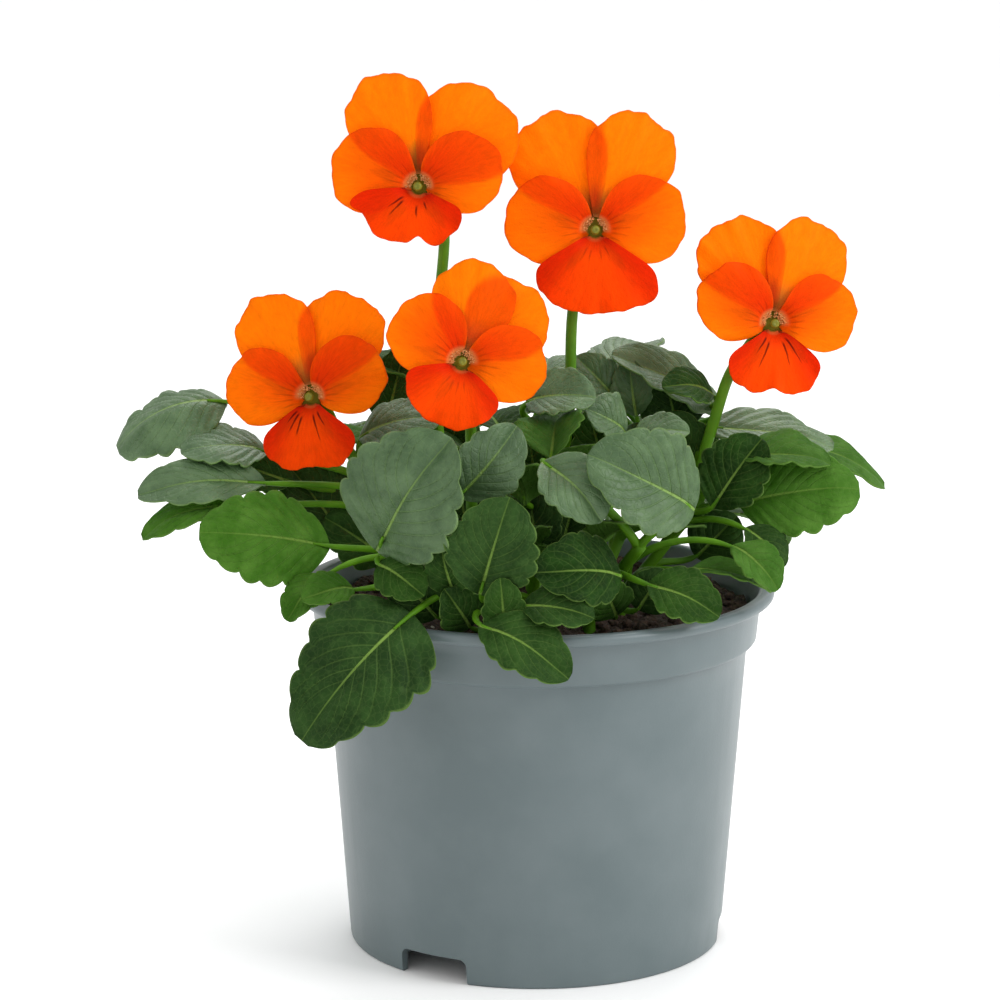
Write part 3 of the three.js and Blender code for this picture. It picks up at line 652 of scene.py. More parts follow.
# %% Tiers and the heart
TIERS = {  # start, height, reach, droop, width, outward lean
    "low": (40, 103, 34, 9, 24, 0.35),
    "middle": (36, 118, 30, 4, 23, 0.35),
    "high": (30, 133, 25, -6, 20, 0.4),
    "heart": (24, 99, 19, -9, 16, 0.8),
    "crown": (14, 114, 17, -12, 16, 0.9),
}
TIER_LIFT, TIER_ARCH, TIER_FOLD = 5, 0.14, 0.1
TIER_LEAVES = {
    "back_right": [(28, "low"), (45, "middle"), (62, "low"), (56, "high")],
    "back": [(92, "low"), (79, "middle"), (86, "high"), (104, "middle")],
    "back_left": [(122, "low"), (136, "middle"), (128, "high"), (165, "middle"), (152, "low"),
                  (156, "high")],
    "left": [(188, "heart"), (196, "crown")],
    "front_left": [(222, "heart")],
    "front": [(262, "heart"), (284, "heart")],
    "front_right": [(306, "heart")],
    "right": [(346, "heart"), (356, "crown")],
    "centre": [(258, "crown"), (304, "crown")],
}


def tier_leaf(shoot, angle, tier, lifted):
    """A leaf that stands by rule, as a row like those of the table above."""
    inner, z, reach, droop, width, outward = TIERS[tier]
    z = z + TIER_LIFT * lifted
    x, y = math.cos(math.radians(angle)), math.sin(math.radians(angle))
    base = (x * inner, y * inner, z)
    tip = (x * (inner + reach), y * (inner + reach), z - droop)
    return shoot, base, tip, (x * outward, y * outward, 0.9), width, TIER_ARCH, TIER_FOLD


places = [(shoot, *place) for shoot, row in TIER_LEAVES.items() for place in row]
tier_leaves = [tier_leaf(*place, index % 2) for index, place in enumerate(places)]

INNER_FOLD = 0.1
INNER_LEAVES = [
    ("back_right", (36, 12, 126), (32, 10, 143), (0, -1, 0.2), 17, 0.06),
    ("centre", (17, 6, 119), (13, 4, 134), (0, -1, 0.2), 13, 0.06),
    ("centre", (0, 2, 113), (-2, 0, 130), (0, -1, 0.2), 14, 0.06),
    ("left", (-24, 1, 119), (-18, 0, 136), (0, -1, 0.2), 15, 0.06),
    ("back_left", (-38, 12, 128), (-33, 10, 149), (0, -1, 0.2), 14, 0.06),
    ("front_left", (-17, -11, 102), (-19, -10, 119), (0, -1, 0.2), 15, 0.06),
    ("front", (0, -11, 101), (-2, -10, 117), (0, -1, 0.2), 15, 0.06),
    ("left", (-60, -13, 119), (-76, -13, 124), (0, -0.8, 0.6), 12, 0.06),
    ("front_left", (-36, -15, 100), (-52, -17, 111), (0, -0.9, 0.4), 15, 0.06),
    ("right", (40, 1, 97), (50, -1, 108), (0, -1, 0.2), 15, 0.06),
    ("front_left", (-24, -44, 92), (-35, -48, 106), (-0.2, -0.9, 0.4), 14, 0.08),
    ("front", (-16, -46, 90), (-22, -53, 101), (0, -0.9, 0.4), 12, 0.08),
    ("front", (-8, -55, 91), (-9, -59, 105), (0.1, -0.95, 0.3), 11, 0.06),
    ("front_right", (19, -38, 91), (15, -45, 101), (0, -0.9, 0.4), 12, 0.08),
    ("front_right", (24, -36, 92), (30, -40, 103), (0.1, -0.9, 0.4), 12, 0.08),
    ("back", (-5, 20, 111), (-15, 9, 122), (0, -0.2, 1), 17, 0.1),
    ("back", (3, 24, 113), (14, 14, 124), (0, -0.2, 1), 17, 0.1),
    ("back_left", (-20, 19, 112), (-9, 28, 121), (0, 0.2, 1), 15, 0.1),
    ("back_left", (-27, 14, 116), (-24, -1, 126), (-0.1, -0.2, 1), 16, 0.1),
    ("back_left", (-30, 20, 112), (-41, 10, 121), (-0.2, 0, 1), 16, 0.1),
    ("back_right", (22, 19, 112), (11, 28, 121), (0, 0.2, 1), 15, 0.1),
    ("back_right", (28, 14, 116), (25, 1, 124), (0.1, -0.2, 1), 14, 0.1),
    ("back_right", (31, 19, 113), (43, 10, 121), (0.2, 0, 1), 16, 0.1),
    ("centre", (-3, 1, 112), (-13, -8, 120), (-0.2, -0.2, 1), 14, 0.1),
]
all_leaves = leaves_in_view + tier_leaves + [(*row, INNER_FOLD) for row in INNER_LEAVES]
# Row numbers of the leaves with a thick coat of wax and a painted grey-green sheen, and of the young,
# fresher ones.
WAX_AND_SHEEN_LEAVES = {0, 1, 2, 5, 9, 12, 18, 20, 24, 30, 32, 33, 36, 38, 39, 43, 46, 49, 52}
FRESH_LEAVES = {3, 6, 7, 8, 21, 22, 23, 25, 28, 31, 42, 48, 51}
print("leaves:", len(all_leaves))

# %% [markdown]
# ## One leaf blade
# The blade is a grid of points: one direction runs along the midrib, the other across it. The
# outline is drawn in at the base and round at the tip, and its edge is cut into round lobes that
# lean towards the tip. The side veins leave the lower part of the midrib at a narrow angle and each
# runs out to a lobe. Midrib and veins lie in shallow grooves with the blade swelling between them,
# the edge waves a little, and a second grid behind the first gives the thickness.

# %% Leaf blade
LEAF_SKIN = 0.45
TOOTH_CUT = 0.14
VEIN_CROWD = 1.8
VEIN_SWEEP = 0.45
VEIN_START = 0.35
VEIN_BEND = 0.85
LOBE_PEAK = 0.6
TIP_LIMIT = 0.994
FULL_TURN = 6.3
# Heights as shares of the blade's width.
PILLOW, GROOVE, EDGE_WAVE, SWING, KEEL = 0.096, 0.035, 0.022, 0.035, 0.018


def vein_phase(u, across, teeth):
    """Counts the side veins: a whole number lies on a vein."""
    return VEIN_CROWD * teeth * (u - VEIN_SWEEP * across**VEIN_BEND * (VEIN_START + u))


def leaf_outline(u, width, teeth, belly):
    """Half the width along the blade, smooth and with its lobes."""
    swell = np.sin(math.pi * np.minimum(u, TIP_LIMIT) ** belly)
    smooth = width / 2 * np.maximum(0.05, swell ** (0.8 - 0.35 * u))
    lobe = np.mod(vein_phase(u, 1.0, teeth) + LOBE_PEAK, 1)
    scallop = np.sin(math.pi * lobe**1.25) ** 0.5
    inset = TOOTH_CUT * smoothstep(0.04, 0.2, u) * (1 - smoothstep(0.88, 0.97, u))
    return smooth, smooth * (1 - inset * (1 - scallop))


def leaf_blade(base, tip, up, width, arch, fold, belly, draw):
    """Points and faces, the upper side's own coordinates and its half width in mm."""
    rows, columns = (69, 29) if width > 18 else (51, 21)
    teeth = 6 if width > 22 else 5 if width > 15 else 4
    along = tip - base
    length = np.linalg.norm(along)
    forward = along / length
    side = np.cross(forward, up)
    u = np.linspace(0, 1, rows)[:, None]
    v = np.linspace(-1, 1, columns)[None, :]
    across = np.abs(v)
    smooth, toothed = leaf_outline(u, width, teeth, belly)
    half = smooth * across + (toothed - smooth) * across**4
    between = np.abs(np.mod(vein_phase(u, across, teeth) + 0.5, 1) - 0.5) * 2
    quiet_ends = smoothstep(0, 0.2, u) * (1 - smoothstep(0.75, 1, u))
    pillow = PILLOW * width * between**0.7 * across * (1 - 0.8 * across) * quiet_ends
    groove = GROOVE * width * np.exp(-((across * smooth / (0.05 * width)) ** 2))
    edge = EDGE_WAVE * width * across**3 * np.sin(math.pi * teeth * u + draw.uniform(0, FULL_TURN))
    curl = draw.uniform(-0.12, 0.12) * v * smooth * u
    swing = np.sin(5 * u + draw.uniform(0, FULL_TURN))
    swing = swing * np.sin(2.6 * v + draw.uniform(0, FULL_TURN))
    swing = SWING * width * swing * quiet_ends
    rise = length * arch * 4 * u * (1 - u)
    height = rise + fold * across * smooth + pillow - groove + edge + curl + swing
    normal = up - arch * 4 * (1 - 2 * u)[..., None] * forward
    normal = normal / np.linalg.norm(normal, axis=-1, keepdims=True)
    sideways = (np.sign(v) * half)[..., None] * side
    upper = base + u[..., None] * along + sideways + height[..., None] * up
    keel = KEEL * width * np.exp(-((across * smooth / (0.045 * width)) ** 2)) * (1 - 0.7 * u)
    under = upper - (LEAF_SKIN + keel)[..., None] * normal
    own = np.stack(np.broadcast_arrays(u, v, float(teeth)), axis=-1).reshape(-1, 3)
    return sheet(upper, under), own, np.broadcast_to(smooth, (rows, columns)).ravel()


print("side veins of a wide leaf:", int(vein_phase(1.0, 0.0, 6)))

# %% [markdown]
# ## Stems and petioles
# A stem climbs out of the soil and carries the petioles, which leave it low and curve up to their
# blades. Both are drawn as round tubes along smooth paths that taper a little. The path through a
# few given points is a spline that leaves each point in the direction of its neighbours, which
# keeps it from looping where two points lie close together.


# %% Paths
def spline(points, share):
    """A point on the smooth curve through the given points, at a share of the way along."""
    points = [np.asarray(p, float) for p in points]
    extended = [2 * points[0] - points[1], *points, 2 * points[-1] - points[-2]]
    place = share * (len(points) - 1)
    index = min(int(place), len(points) - 2)
    t = place - index
    p0, p1, p2, p3 = extended[index : index + 4]
    gaps = ((p0, p1), (p1, p2), (p2, p3))
    d0, d1, d2 = [max(np.linalg.norm(b - a), 1e-6) ** 0.5 for a, b in gaps]
    m1 = ((p1 - p0) / d0 - (p2 - p0) / (d0 + d1) + (p2 - p1) / d1) * d1
    m2 = ((p2 - p1) / d1 - (p3 - p1) / (d1 + d2) + (p3 - p2) / d2) * d1
    square, cube = 3 * (p2 - p1) - 2 * m1 - m2, 2 * (p1 - p2) + m1 + m2
    return p1 + m1 * t + square * t**2 + cube * t**3


def bezier(a, b, c, d, steps):
    t = np.linspace(0, 1, steps)[:, None]
    return (1 - t) ** 3 * a + 3 * (1 - t) ** 2 * t * b + 3 * (1 - t) * t**2 * c + t**3 * d


def stem_points(shoot):
    (x, y), *climb = SHOOTS[shoot]
    root = SOIL_TOP - ROOT_DEPTH
    return [(x, y, root), (x, y, root + 5), (x, y, root + 10), *climb]


ROOT_DEPTH = 8
print("left stem ends at", spline(stem_points("left"), 1))

# %% Petioles
STEM_RADIUS = 1.7
STALK_RADIUS = 1.35
PETIOLE_RADIUS = 1.05
PETIOLE_TAPER = np.append(np.linspace(1.15, 0.75, 15), (0.6, 0.45, 0.3))
SUNK = 0.14
CAD_LEAF_THICKNESS = 0.8


def petiole(shoot, base, tip, up, arch):
    """The path from the stem, at the height that a short climb asks for, into the blade."""
    stem = stem_points(shoot)
    crown = spline(stem, 1)
    wanted = base[2] - 0.55 * math.hypot(base[0] - crown[0], base[1] - crown[1])
    starts = [spline(stem, t) for t in np.arange(0.35, 0.981, 0.03)]
    start = min(starts, key=lambda p: abs(p[2] - wanted))
    along = tip - base
    length = np.linalg.norm(along)
    gap = np.linalg.norm(base - start)
    rise = length * arch * 4 * SUNK * (1 - SUNK) - 0.9 * CAD_LEAF_THICKNESS
    end = base + SUNK * along + rise * up
    arrival = unit(along / length + 3 * arch * up)
    outwards = unit(np.array([base[0] - start[0], base[1] - start[1], 0]))
    climb = unit(np.array([0, 0, 1]) + 0.5 * outwards)
    path = bezier(start, start + 0.4 * gap * climb, end - (0.3 * gap + 3) * arrival, end, 18)
    return path, PETIOLE_RADIUS * PETIOLE_TAPER


print("petioles thin out from", PETIOLE_RADIUS * PETIOLE_TAPER[0], "mm")

# %% [markdown]
# ## Blooms
# A pansy has five petals: two uppers at the back, two side petals before them, and the lip in front
# with dark lines that lead to the throat. A short spur and five pointed green sepals are behind.
# Each bloom has its own small frame of reference: out along its face, right and up. The petals of
# one bloom lie in layers, each a little before the other, and all curve back at their edges. The
# outlines follow the photo within a millimetre or two of the frame's plain petals.

# %% Bloom tables
PETAL_LAYERS = {"upper_back": -3, "upper_front": -1.5, "left": 0, "right": 0, "lip": 1.5}
# A petal: angle clockwise from up, length, half spread in degrees, fullness. A line of the lip: its
# angle, start and end. A trim of the lip's edge: its angle, how far it changes, how wide it is.
BLOOMS = {
    "top_left": {
        "shoot": "left", "eye": (-29.1, -16, 192.3), "face": (-0.12, -0.97, 0.18),
        "stalk": [(-17, -5, 96), (-24.5, -8, 132), (-24, -8, 161), (-23, -9, 184)],
        "petals": [(41, 29, 46, 0.26), (-24, 29.4, 38, 0.32), (-72, 22, 62, 0.52),
                   (72, 21.2, 63, 0.58), (190, 15.5, 75, 0.1)],
        "notch": 0.1, "trims": [(255, 3, 9), (176, -2.6, 9)], "line_strength": 0.85,
        "lines": [(232, 4.2, 9), (222, 4.8, 10), (179, 4.8, 8.5), (155, 4.2, 7)],
    },
    "top_middle": {
        "shoot": "centre", "eye": (14, -14, 181.5), "face": (0, -0.98, 0.16),
        "stalk": [(2.4, -3, 107), (7.6, -7, 132), (8.6, -9, 160), (11, -7, 176)],
        "petals": [(-27, 30.8, 39, 0.24), (26, 30.8, 35, 0.26), (-79, 22.3, 66, 0.62),
                   (78, 22.4, 62, 0.5), (181, 21.2, 58, 0.1)],
        "notch": 0.06, "trims": [(138, 2.2, 13)], "line_strength": 0.3,
        "lines": [(205, 4.5, 8), (192, 5, 8.5), (168, 5, 8.5), (152, 4.5, 8)],
    },
    "right": {
        "shoot": "right", "eye": (58.7, -6, 157.4), "face": (0.18, -0.95, 0.2),
        "stalk": [(36, -4, 106), (44, -1, 132), (48, 0, 144), (54, 1, 153)],
        "petals": [(-24, 28, 38, 0.21), (31, 28.4, 38, 0.3), (-61, 20.8, 59, 0.5),
                   (80, 21, 54, 0.42), (186, 18.8, 54, 0.12)],
        "notch": 0.16, "trims": [], "line_strength": 0.85,
        "lines": [(218, 4.3, 9.5), (205, 5, 12.5), (165, 5, 11.5), (150, 4.3, 12)],
    },
    "left": {
        "shoot": "left", "eye": (-55.7, -20, 141.5), "face": (-0.18, -0.95, 0.2),
        "stalk": [(-33, -10, 110), (-46, -11, 126), (-53, -12, 137)],
        "petals": [(23, 27.1, 38, 0.22), (-32, 27.9, 38, 0.34), (-80, 21, 54, 0.44),
                   (60, 20.4, 59, 0.5), (175, 18.9, 52, 0.12)],
        "notch": 0.13, "trims": [], "line_strength": 0.85,
        "lines": [(215, 4.3, 8.5), (205, 4.5, 10.5), (193, 5, 11), (160, 4.5, 11.5), (145, 4.3, 9)],
    },
    "front": {
        "shoot": "front_left", "eye": (-17.9, -40, 153.5), "face": (0.1, -0.96, 0.26),
        "stalk": [(-16, -25, 95), (-16, -27, 122), (-17, -31, 148)],
        "petals": [(47, 25, 45, 0.3), (12, 24.8, 46, 0.4), (-50, 19.8, 63, 0.5),
                   (94, 20.2, 63, 0.6), (201, 16.4, 64, 0.12)],
        "notch": 0.0, "trims": [], "line_strength": 0.25,
        "lines": [(222, 4.5, 8), (208, 5, 9), (194, 5, 9), (180, 5, 8)],
    },
}
for bloom in BLOOMS.values():
    rows = zip(PETAL_LAYERS.items(), bloom["petals"])
    bloom["petals"] = {kind: (*row, layer) for (kind, layer), row in rows}
print("blooms:", list(BLOOMS))


# %% Bloom frame
def placer(bloom):
    """A function from distance, angle clockwise from up, and height over the face to points."""
    out = unit(np.array(bloom["face"], float))
    right = -unit(np.cross(out, (0, 0, 1)))
    up = -unit(np.cross(right, out))
    eye = np.array(bloom["eye"], float)

    def place(radius, turn, height):
        radius, turn, height = np.broadcast_arrays(radius, turn, height)
        sideways = (radius * np.sin(turn))[..., None] * right
        upwards = (radius * np.cos(turn))[..., None] * up
        return eye + sideways + upwards + height[..., None] * out

    return place


print("top left eye:", placer(BLOOMS["top_left"])(0, 0, 0))

# %% [markdown]
# ## One petal
# A petal is a grid in polar form about the throat: narrow at its claw, then opening to a round or
# fan-shaped blade. Its edge is finely crinkled and its outer part waves. Its colour is worked out
# point by point from where the point lies: the uppers are plain orange, with painted shade in the
# crease where they meet, the side petals are redder towards the throat and above, and the lip is the
# reddest and deepest at its margins, and has the dark lines. Those redder parts are partly the
# petals' own colour and partly painted shade where other petals lie behind. Where another petal or a
# sepal lies behind, less light comes through, so the petal is a little redder and darker.

# %% Petal shape
THROAT_RADIUS = 1.7
THROAT_DEPTH = 3.4
CLAW_LENGTH = 3.2
CLAW_SHARE = 0.7
CLAW_END = THROAT_RADIUS + 0.6
PETAL_REACH = 28
PETAL_SKIN = 0.4
CRINKLE = ((3, 0.012), (5, 0.009), (9, 0.005), (17, 0.0022))
RUFFLE = ((2.2, 0.5), (4.1, 0.35), (7.3, 0.22))


def petal_reach(length, fullness, t, notch):
    rounding = np.cos(math.pi / 2 * np.minimum(np.abs(t), 1)) ** fullness
    dip = notch * np.exp(-((t / 0.22) ** 2))
    return CLAW_END + (length - CLAW_END) * rounding * (1 - dip)


def petal_height(radius, turn, layer):
    throat = -THROAT_DEPTH * np.exp(-(((radius - THROAT_RADIUS) / 2.6) ** 2))
    opened = 1 - np.exp(-((radius / 3) ** 2))
    share = radius / PETAL_REACH
    return throat + layer * opened - 2.6 * share**3 + 1.1 * share**4 * np.sin(7 * turn)


def waver(waves, t, draw):
    """Waves from side to side, each with its count and height, from a random start."""
    total = 0
    for count, part in waves:
        total = total + part * np.sin(count * math.pi * t + draw.uniform(0, FULL_TURN))
    return total


def petal_grid(row, notch, trims, rows, columns, draw):
    """Distance, angle and height of a petal's points, share of the way out, and side to side."""
    angle, length, spread, fullness, layer = row
    t = np.sin(np.linspace(-math.pi / 2, math.pi / 2, columns))[None, :]
    s = np.linspace(0, 1, rows)[:, None] ** 0.85
    reach = petal_reach(length, fullness, t, notch)
    for at, change, wide in trims:
        reach = reach + change * np.exp(-(((angle + spread * t - at) / wide) ** 2))
    reach = reach * (1 + waver(CRINKLE, t, draw) * smoothstep(0, 0.3, 1 - np.abs(t)))
    radius = THROAT_RADIUS + (reach - THROAT_RADIUS) * s
    opening = np.clip(radius / CLAW_LENGTH, CLAW_SHARE, 1)
    turn = np.radians(angle + spread * t * opening)
    ruffle = waver(RUFFLE, t, draw) * s**4 * (1 - 0.3 * np.abs(t))
    return np.broadcast_arrays(radius, turn, petal_height(radius, turn, layer) + ruffle, s, t)


lengths = [row[1] for bloom in BLOOMS.values() for row in bloom["petals"].values()]
print("longest petal:", max(lengths), "mm")

# %% What lies behind a petal
SOFT_EDGE = 1.8
SEPAL_LENGTH = 12.5
SEPAL_STEP = 72


def degrees_from(turn, angle):
    """How far a direction is from an angle, between -180 and 180."""
    return np.mod(np.degrees(turn) - angle + 180, 360) - 180


def covered(radius, turn, row, notch):
    """How far a petal reaches over a place: 1 well inside it, 0 outside it."""
    angle, length, spread, fullness, _ = row
    opening = np.clip(radius / CLAW_LENGTH, CLAW_SHARE, 1)
    t = degrees_from(turn, angle) / (spread * opening)
    reach = petal_reach(length, fullness, np.clip(t, -1, 1), notch)
    inside = (1 - np.abs(t)) * np.radians(spread) * opening * radius
    end, side = (smoothstep(-SOFT_EDGE, SOFT_EDGE, gap) for gap in (reach - radius, inside))
    return end * side


def sepal_shadow(radius, turn):
    """1 where one of the five sepals lies behind."""
    offset = np.mod(np.degrees(turn) + SEPAL_STEP / 2, SEPAL_STEP) - SEPAL_STEP / 2
    width = 2.1 * np.clip(1 - (radius / SEPAL_LENGTH) ** 2, 0, 1) ** 0.8
    aside = np.abs(radius * np.sin(np.radians(offset)))
    return smoothstep(0.35, -0.35, aside - width)


print("shadow of a sepal 5 mm out:", float(sepal_shadow(5.0, 0.0)))

# %% [markdown]
# ### Petal colours
# The colours are mixed here as linear light, so that the shader only has to add the fine streaks.

# %% Petal colours
UPPER_ORANGE = linear("#ff8a00")
UPPER_TAN = linear("#c8702c")
UPPER_CREASE_SHADE = linear("#6e3d12")
SIDE_ORANGE = linear("#ff8200")
SIDE_RED = linear("#f23a00")
LIP_RED = linear("#ff5200")
LIP_DEEP = linear("#e01c00")
THROAT_OLIVE = linear("#7d7420")
THROAT_PEACH = linear("#f2a45c")
LINE_BROWN = linear("#4a0806")
SHADE_RED = linear("#ee3000")
SEPAL_SHADE = linear("#7a3a08")
EDGE_DARK = linear("#d84c02")
LIP_LINE, SIDE_LINE = 0.34, 0.3
SIDE_FAN = (-36, -21, -7, 8, 22, 37)


def mixed(a, b, share):
    return a + (b - a) * np.clip(share, 0, 1)[..., None]


def guide_lines(radius, turn, lines, width):
    """Thin dark lines that lead to the throat: each has an angle, a start and an end."""
    total = np.zeros_like(radius)
    for angle, start, stop in lines:
        aside = degrees_from(turn, angle)
        distance = np.abs(radius * np.sin(np.radians(aside))) + 9 * (np.abs(aside) > 90)
        thin = width * (1 - 0.7 * smoothstep(start, stop, radius))
        ends = smoothstep(start - 0.5, start + 0.7, radius)
        ends = ends * smoothstep(stop + 0.3, stop - 2, radius)
        total = np.maximum(total, smoothstep(thin, 0.4 * thin, distance) * ends)
    return total


def colour_with_painted_shade(kind, bloom, angle, radius, turn, s, t):
    """The petal's colour before what lies behind it: its own, with some painted shade."""
    if kind.startswith("upper"):
        colour = mixed(UPPER_ORANGE, UPPER_TAN, smoothstep(12, 5, radius) * 0.85)
        # Painted shade: a brown line up the crease where the two uppers meet.
        crease_shade = np.exp(-((radius * np.sin(turn) / 1.3) ** 2)) * smoothstep(13, 8, radius)
        return mixed(colour, UPPER_CREASE_SHADE, 0.7 * crease_shade)
    if kind == "lip":
        # Deeper red at the lip's margins: partly its own colour, partly painted shade where the side
        # petals lie behind.
        colour = mixed(LIP_RED, LIP_DEEP, smoothstep(0.25, 0.95, np.abs(t)) * 0.8)
        return mixed(colour, LIP_DEEP, 0.5 * smoothstep(8, 3, radius))
    # Redder towards the throat and above: partly the side petal's own colour, partly painted shade
    # where the uppers lie behind.
    colour = mixed(SIDE_RED, SIDE_ORANGE, 0.3 + 0.9 * s**1.2 - 0.4 * np.cos(turn))
    fan = [(angle + offset, 4.2, 10 - 0.06 * abs(offset)) for offset in SIDE_FAN]
    return mixed(colour, LINE_BROWN, 0.28 * guide_lines(radius, turn, fan, SIDE_LINE))


def petal_colour(kind, bloom, row, radius, turn, s, t):
    colour = colour_with_painted_shade(kind, bloom, row[0], radius, turn, s, t)
    behind = np.zeros_like(radius)
    for other, values in bloom["petals"].items():
        if values[4] < row[4] or (values[4] == row[4] and other < kind):
            notch = bloom["notch"] if other == "lip" else 0
            behind = np.maximum(behind, covered(radius, turn, values, notch))
    sepal = sepal_shadow(radius, turn) * (1 - 0.8 * behind)
    colour = mixed(colour, SHADE_RED, 0.62 * behind * smoothstep(3, 7, radius))
    colour = mixed(colour, SEPAL_SHADE, 0.13 * sepal * smoothstep(4, 7, radius))
    if kind == "lip":
        lines = guide_lines(radius, turn, bloom["lines"], LIP_LINE)
        colour = mixed(colour, LINE_BROWN, bloom["line_strength"] * lines)
        colour = mixed(colour, THROAT_PEACH, 0.3 * smoothstep(3.0, 2.4, radius))
    else:
        above = smoothstep(108, 85, np.abs(degrees_from(turn, 0)))
        colour = mixed(colour, THROAT_PEACH, smoothstep(4.2, 2.9, radius) * above)
    colour = mixed(colour, EDGE_DARK, 0.4 * smoothstep(0.97, 1.0, s))
    return mixed(colour, THROAT_OLIVE, smoothstep(2.05, 1.75, radius))


print("upper orange in linear light:", UPPER_ORANGE.round(3))

# %% [markdown]
# ### Living petal
# A petal is a thin wet sheet with a velvety upper skin: it scatters light softly, has no sharp
# highlight, and lets about a third of the light through. Fine ribs run from the throat outwards,
# about half a millimetre apart. The shader takes the colour worked out above, adds the ribs from
# the petal's own polar coordinates, and mixes in a translucent part of the same colour.

# %% Petal material
RIBS_PER_TURN = 22
RIBS_PER_MM = 0.35
LET_THROUGH = 0.4
petal_skin, tree = new_material("velvety_petal_tissue")
painted = add(tree, "Attribute", attribute_name="petal_colour")
polar = add(tree, "Attribute", attribute_name="petal_place").outputs["Vector"]
place = add(tree, "TexCoord").outputs["Object"]
ribs = add(tree, "TexNoise", {"Vector": polar, "Scale": 1.0, "Detail": 3, "Roughness": 0.6})
cells = add(tree, "TexNoise", {"Vector": place, "Scale": per_metre(0.385), "Detail": 1})
shade_ends = {"From Min": 0.3, "From Max": 0.7, "To Min": 0.9, "To Max": 1.08}
shade = add(tree, "MapRange", {"Value": ribs, **shade_ends})
toned = add(tree, "VectorMath", {0: painted, "Scale": shade}, operation="SCALE")
relief = add(tree, "Math", {0: ribs, 1: cells}, operation="ADD")
ribbed = add(tree, "Bump", {"Height": relief, "Strength": 0.35, "Distance": 0.3 * MM})
velvet_inputs = {"Base Color": toned, "Roughness": 0.62, "IOR": 1.4, "Specular IOR Level": 0.06,
                 "Sheen Weight": 0.02, "Sheen Roughness": 0.5, "Normal": ribbed}
velvet = add(tree, "BsdfPrincipled", velvet_inputs)
through = add(tree, "BsdfTranslucent", {"Color": toned, "Normal": ribbed})
petal_mix = add(tree, "MixShader", {0: LET_THROUGH, 1: velvet, 2: through})
add(tree, "OutputMaterial", {"Surface": petal_mix})
print("petal material:", petal_skin.name)

# %% Make the petals
CAD_PETAL = 0.9
CUP_RISE = 0.9
SPUR_LENGTH = 3.2
PETAL_BACK = -THROAT_DEPTH - CAD_PETAL
LIP_GRID, PETAL_GRID = (64, 121), (52, 97)
PETAL_SEED = 40


def lathe_about(place, profile, sides=20):
    """A small turned body about the bloom's axis, closed at both ends."""
    turn = np.linspace(0, 2 * math.pi, sides, endpoint=False)
    points = np.vstack([place(radius, turn, height) for radius, height in profile])
    return points, lidded_rings(len(profile), sides, turned=True)


def bloom_petals(name, bloom, seed):
    """The five petals of a bloom with the cup and spur that join them."""
    draw = np.random.default_rng(seed)
    place = placer(bloom)
    parts = Parts()
    for kind, row in bloom["petals"].items():
        lip = kind == "lip"
        edge = (bloom["notch"], bloom["trims"]) if lip else (0, [])
        size = LIP_GRID if lip else PETAL_GRID
        radius, turn, height, s, t = petal_grid(row, *edge, *size, draw)
        colour = petal_colour(kind, bloom, row, radius, turn, s, t)
        streak = np.stack([turn * RIBS_PER_TURN, radius * RIBS_PER_MM, 0 * radius + seed], axis=-1)
        blade = sheet(place(radius, turn, height), place(radius, turn, height - PETAL_SKIN))
        parts.put(*blade, petal_colour=colour.reshape(-1, 3), petal_place=streak.reshape(-1, 3))
    spur = [(0.7, -SPUR_LENGTH), (1.2, 0.3 - SPUR_LENGTH), (1.5, -SPUR_LENGTH / 2), (2.3, -0.6)]
    cup = [(3.1, 0), (3.2, CUP_RISE), (2.4, CUP_RISE - 0.2)]
    turned = lathe_about(place, [(radius, PETAL_BACK + z) for radius, z in spur + cup])
    parts.put(*turned, petal_colour=[THROAT_OLIVE], petal_place=[(0, 0, seed)])
    return parts.piece("bloom_" + name, petal_skin, "petals", "petals_" + name)


bloom_pieces = [bloom_petals(*item, PETAL_SEED + k) for k, item in enumerate(BLOOMS.items())]
print("blooms made:", [one.name for one in bloom_pieces])

# %% [markdown]
# ## Throat: stigma and beards
# In the throat stands the stigma, a small round head with a hollow, moist and yellow-green. The two
# side petals carry a tuft of short pale hairs each, which frame the throat like a beard. The head
# is turned about the bloom's axis, and each hair is a thin tapering tube of its own, because at
# this size a texture would look painted on.

# %% Throat materials
# The stigma's film of moisture gives a small soft glint.
moist = {"Roughness": 0.35, "IOR": 1.38}
stigma_skin = blotched_material("moist_stigma_tissue", moist, 0.667, "#4a500c", "#8a841c", Detail=2)
# The hairs are dry and matt, and paler than the petal under them.
matt = {"Roughness": 0.7}
hair_skin = blotched_material("pale_petal_hairs", matt, 0.833, "#ec9e56", "#ffc888", Detail=2)
print("throat materials:", stigma_skin.name, hair_skin.name)

# %% Stigmas and beards
CLEARANCE = 0.35
STIGMA_FOOT = PETAL_BACK + CUP_RISE + CLEARANCE
STIGMA_PROFILE = ((0.4, 0), (0.45, 0.9), (0.8, 1.3), (1.1, 1.8), (1.15, 2.2), (0.9, 2.6),
                  (0.5, 2.8), (0.3, 2.65))
HAIRS = 70
HAIR_RADII = (0.11, 0.1, 0.04)
BEARD_SEED = 60


def stigma(name, bloom):
    parts = Parts()
    profile = [(radius, STIGMA_FOOT + z) for radius, z in STIGMA_PROFILE]
    parts.put(*lathe_about(placer(bloom), profile, 14))
    return parts.piece("stigma_head_" + name, stigma_skin, "stigma", "stigma_" + name)


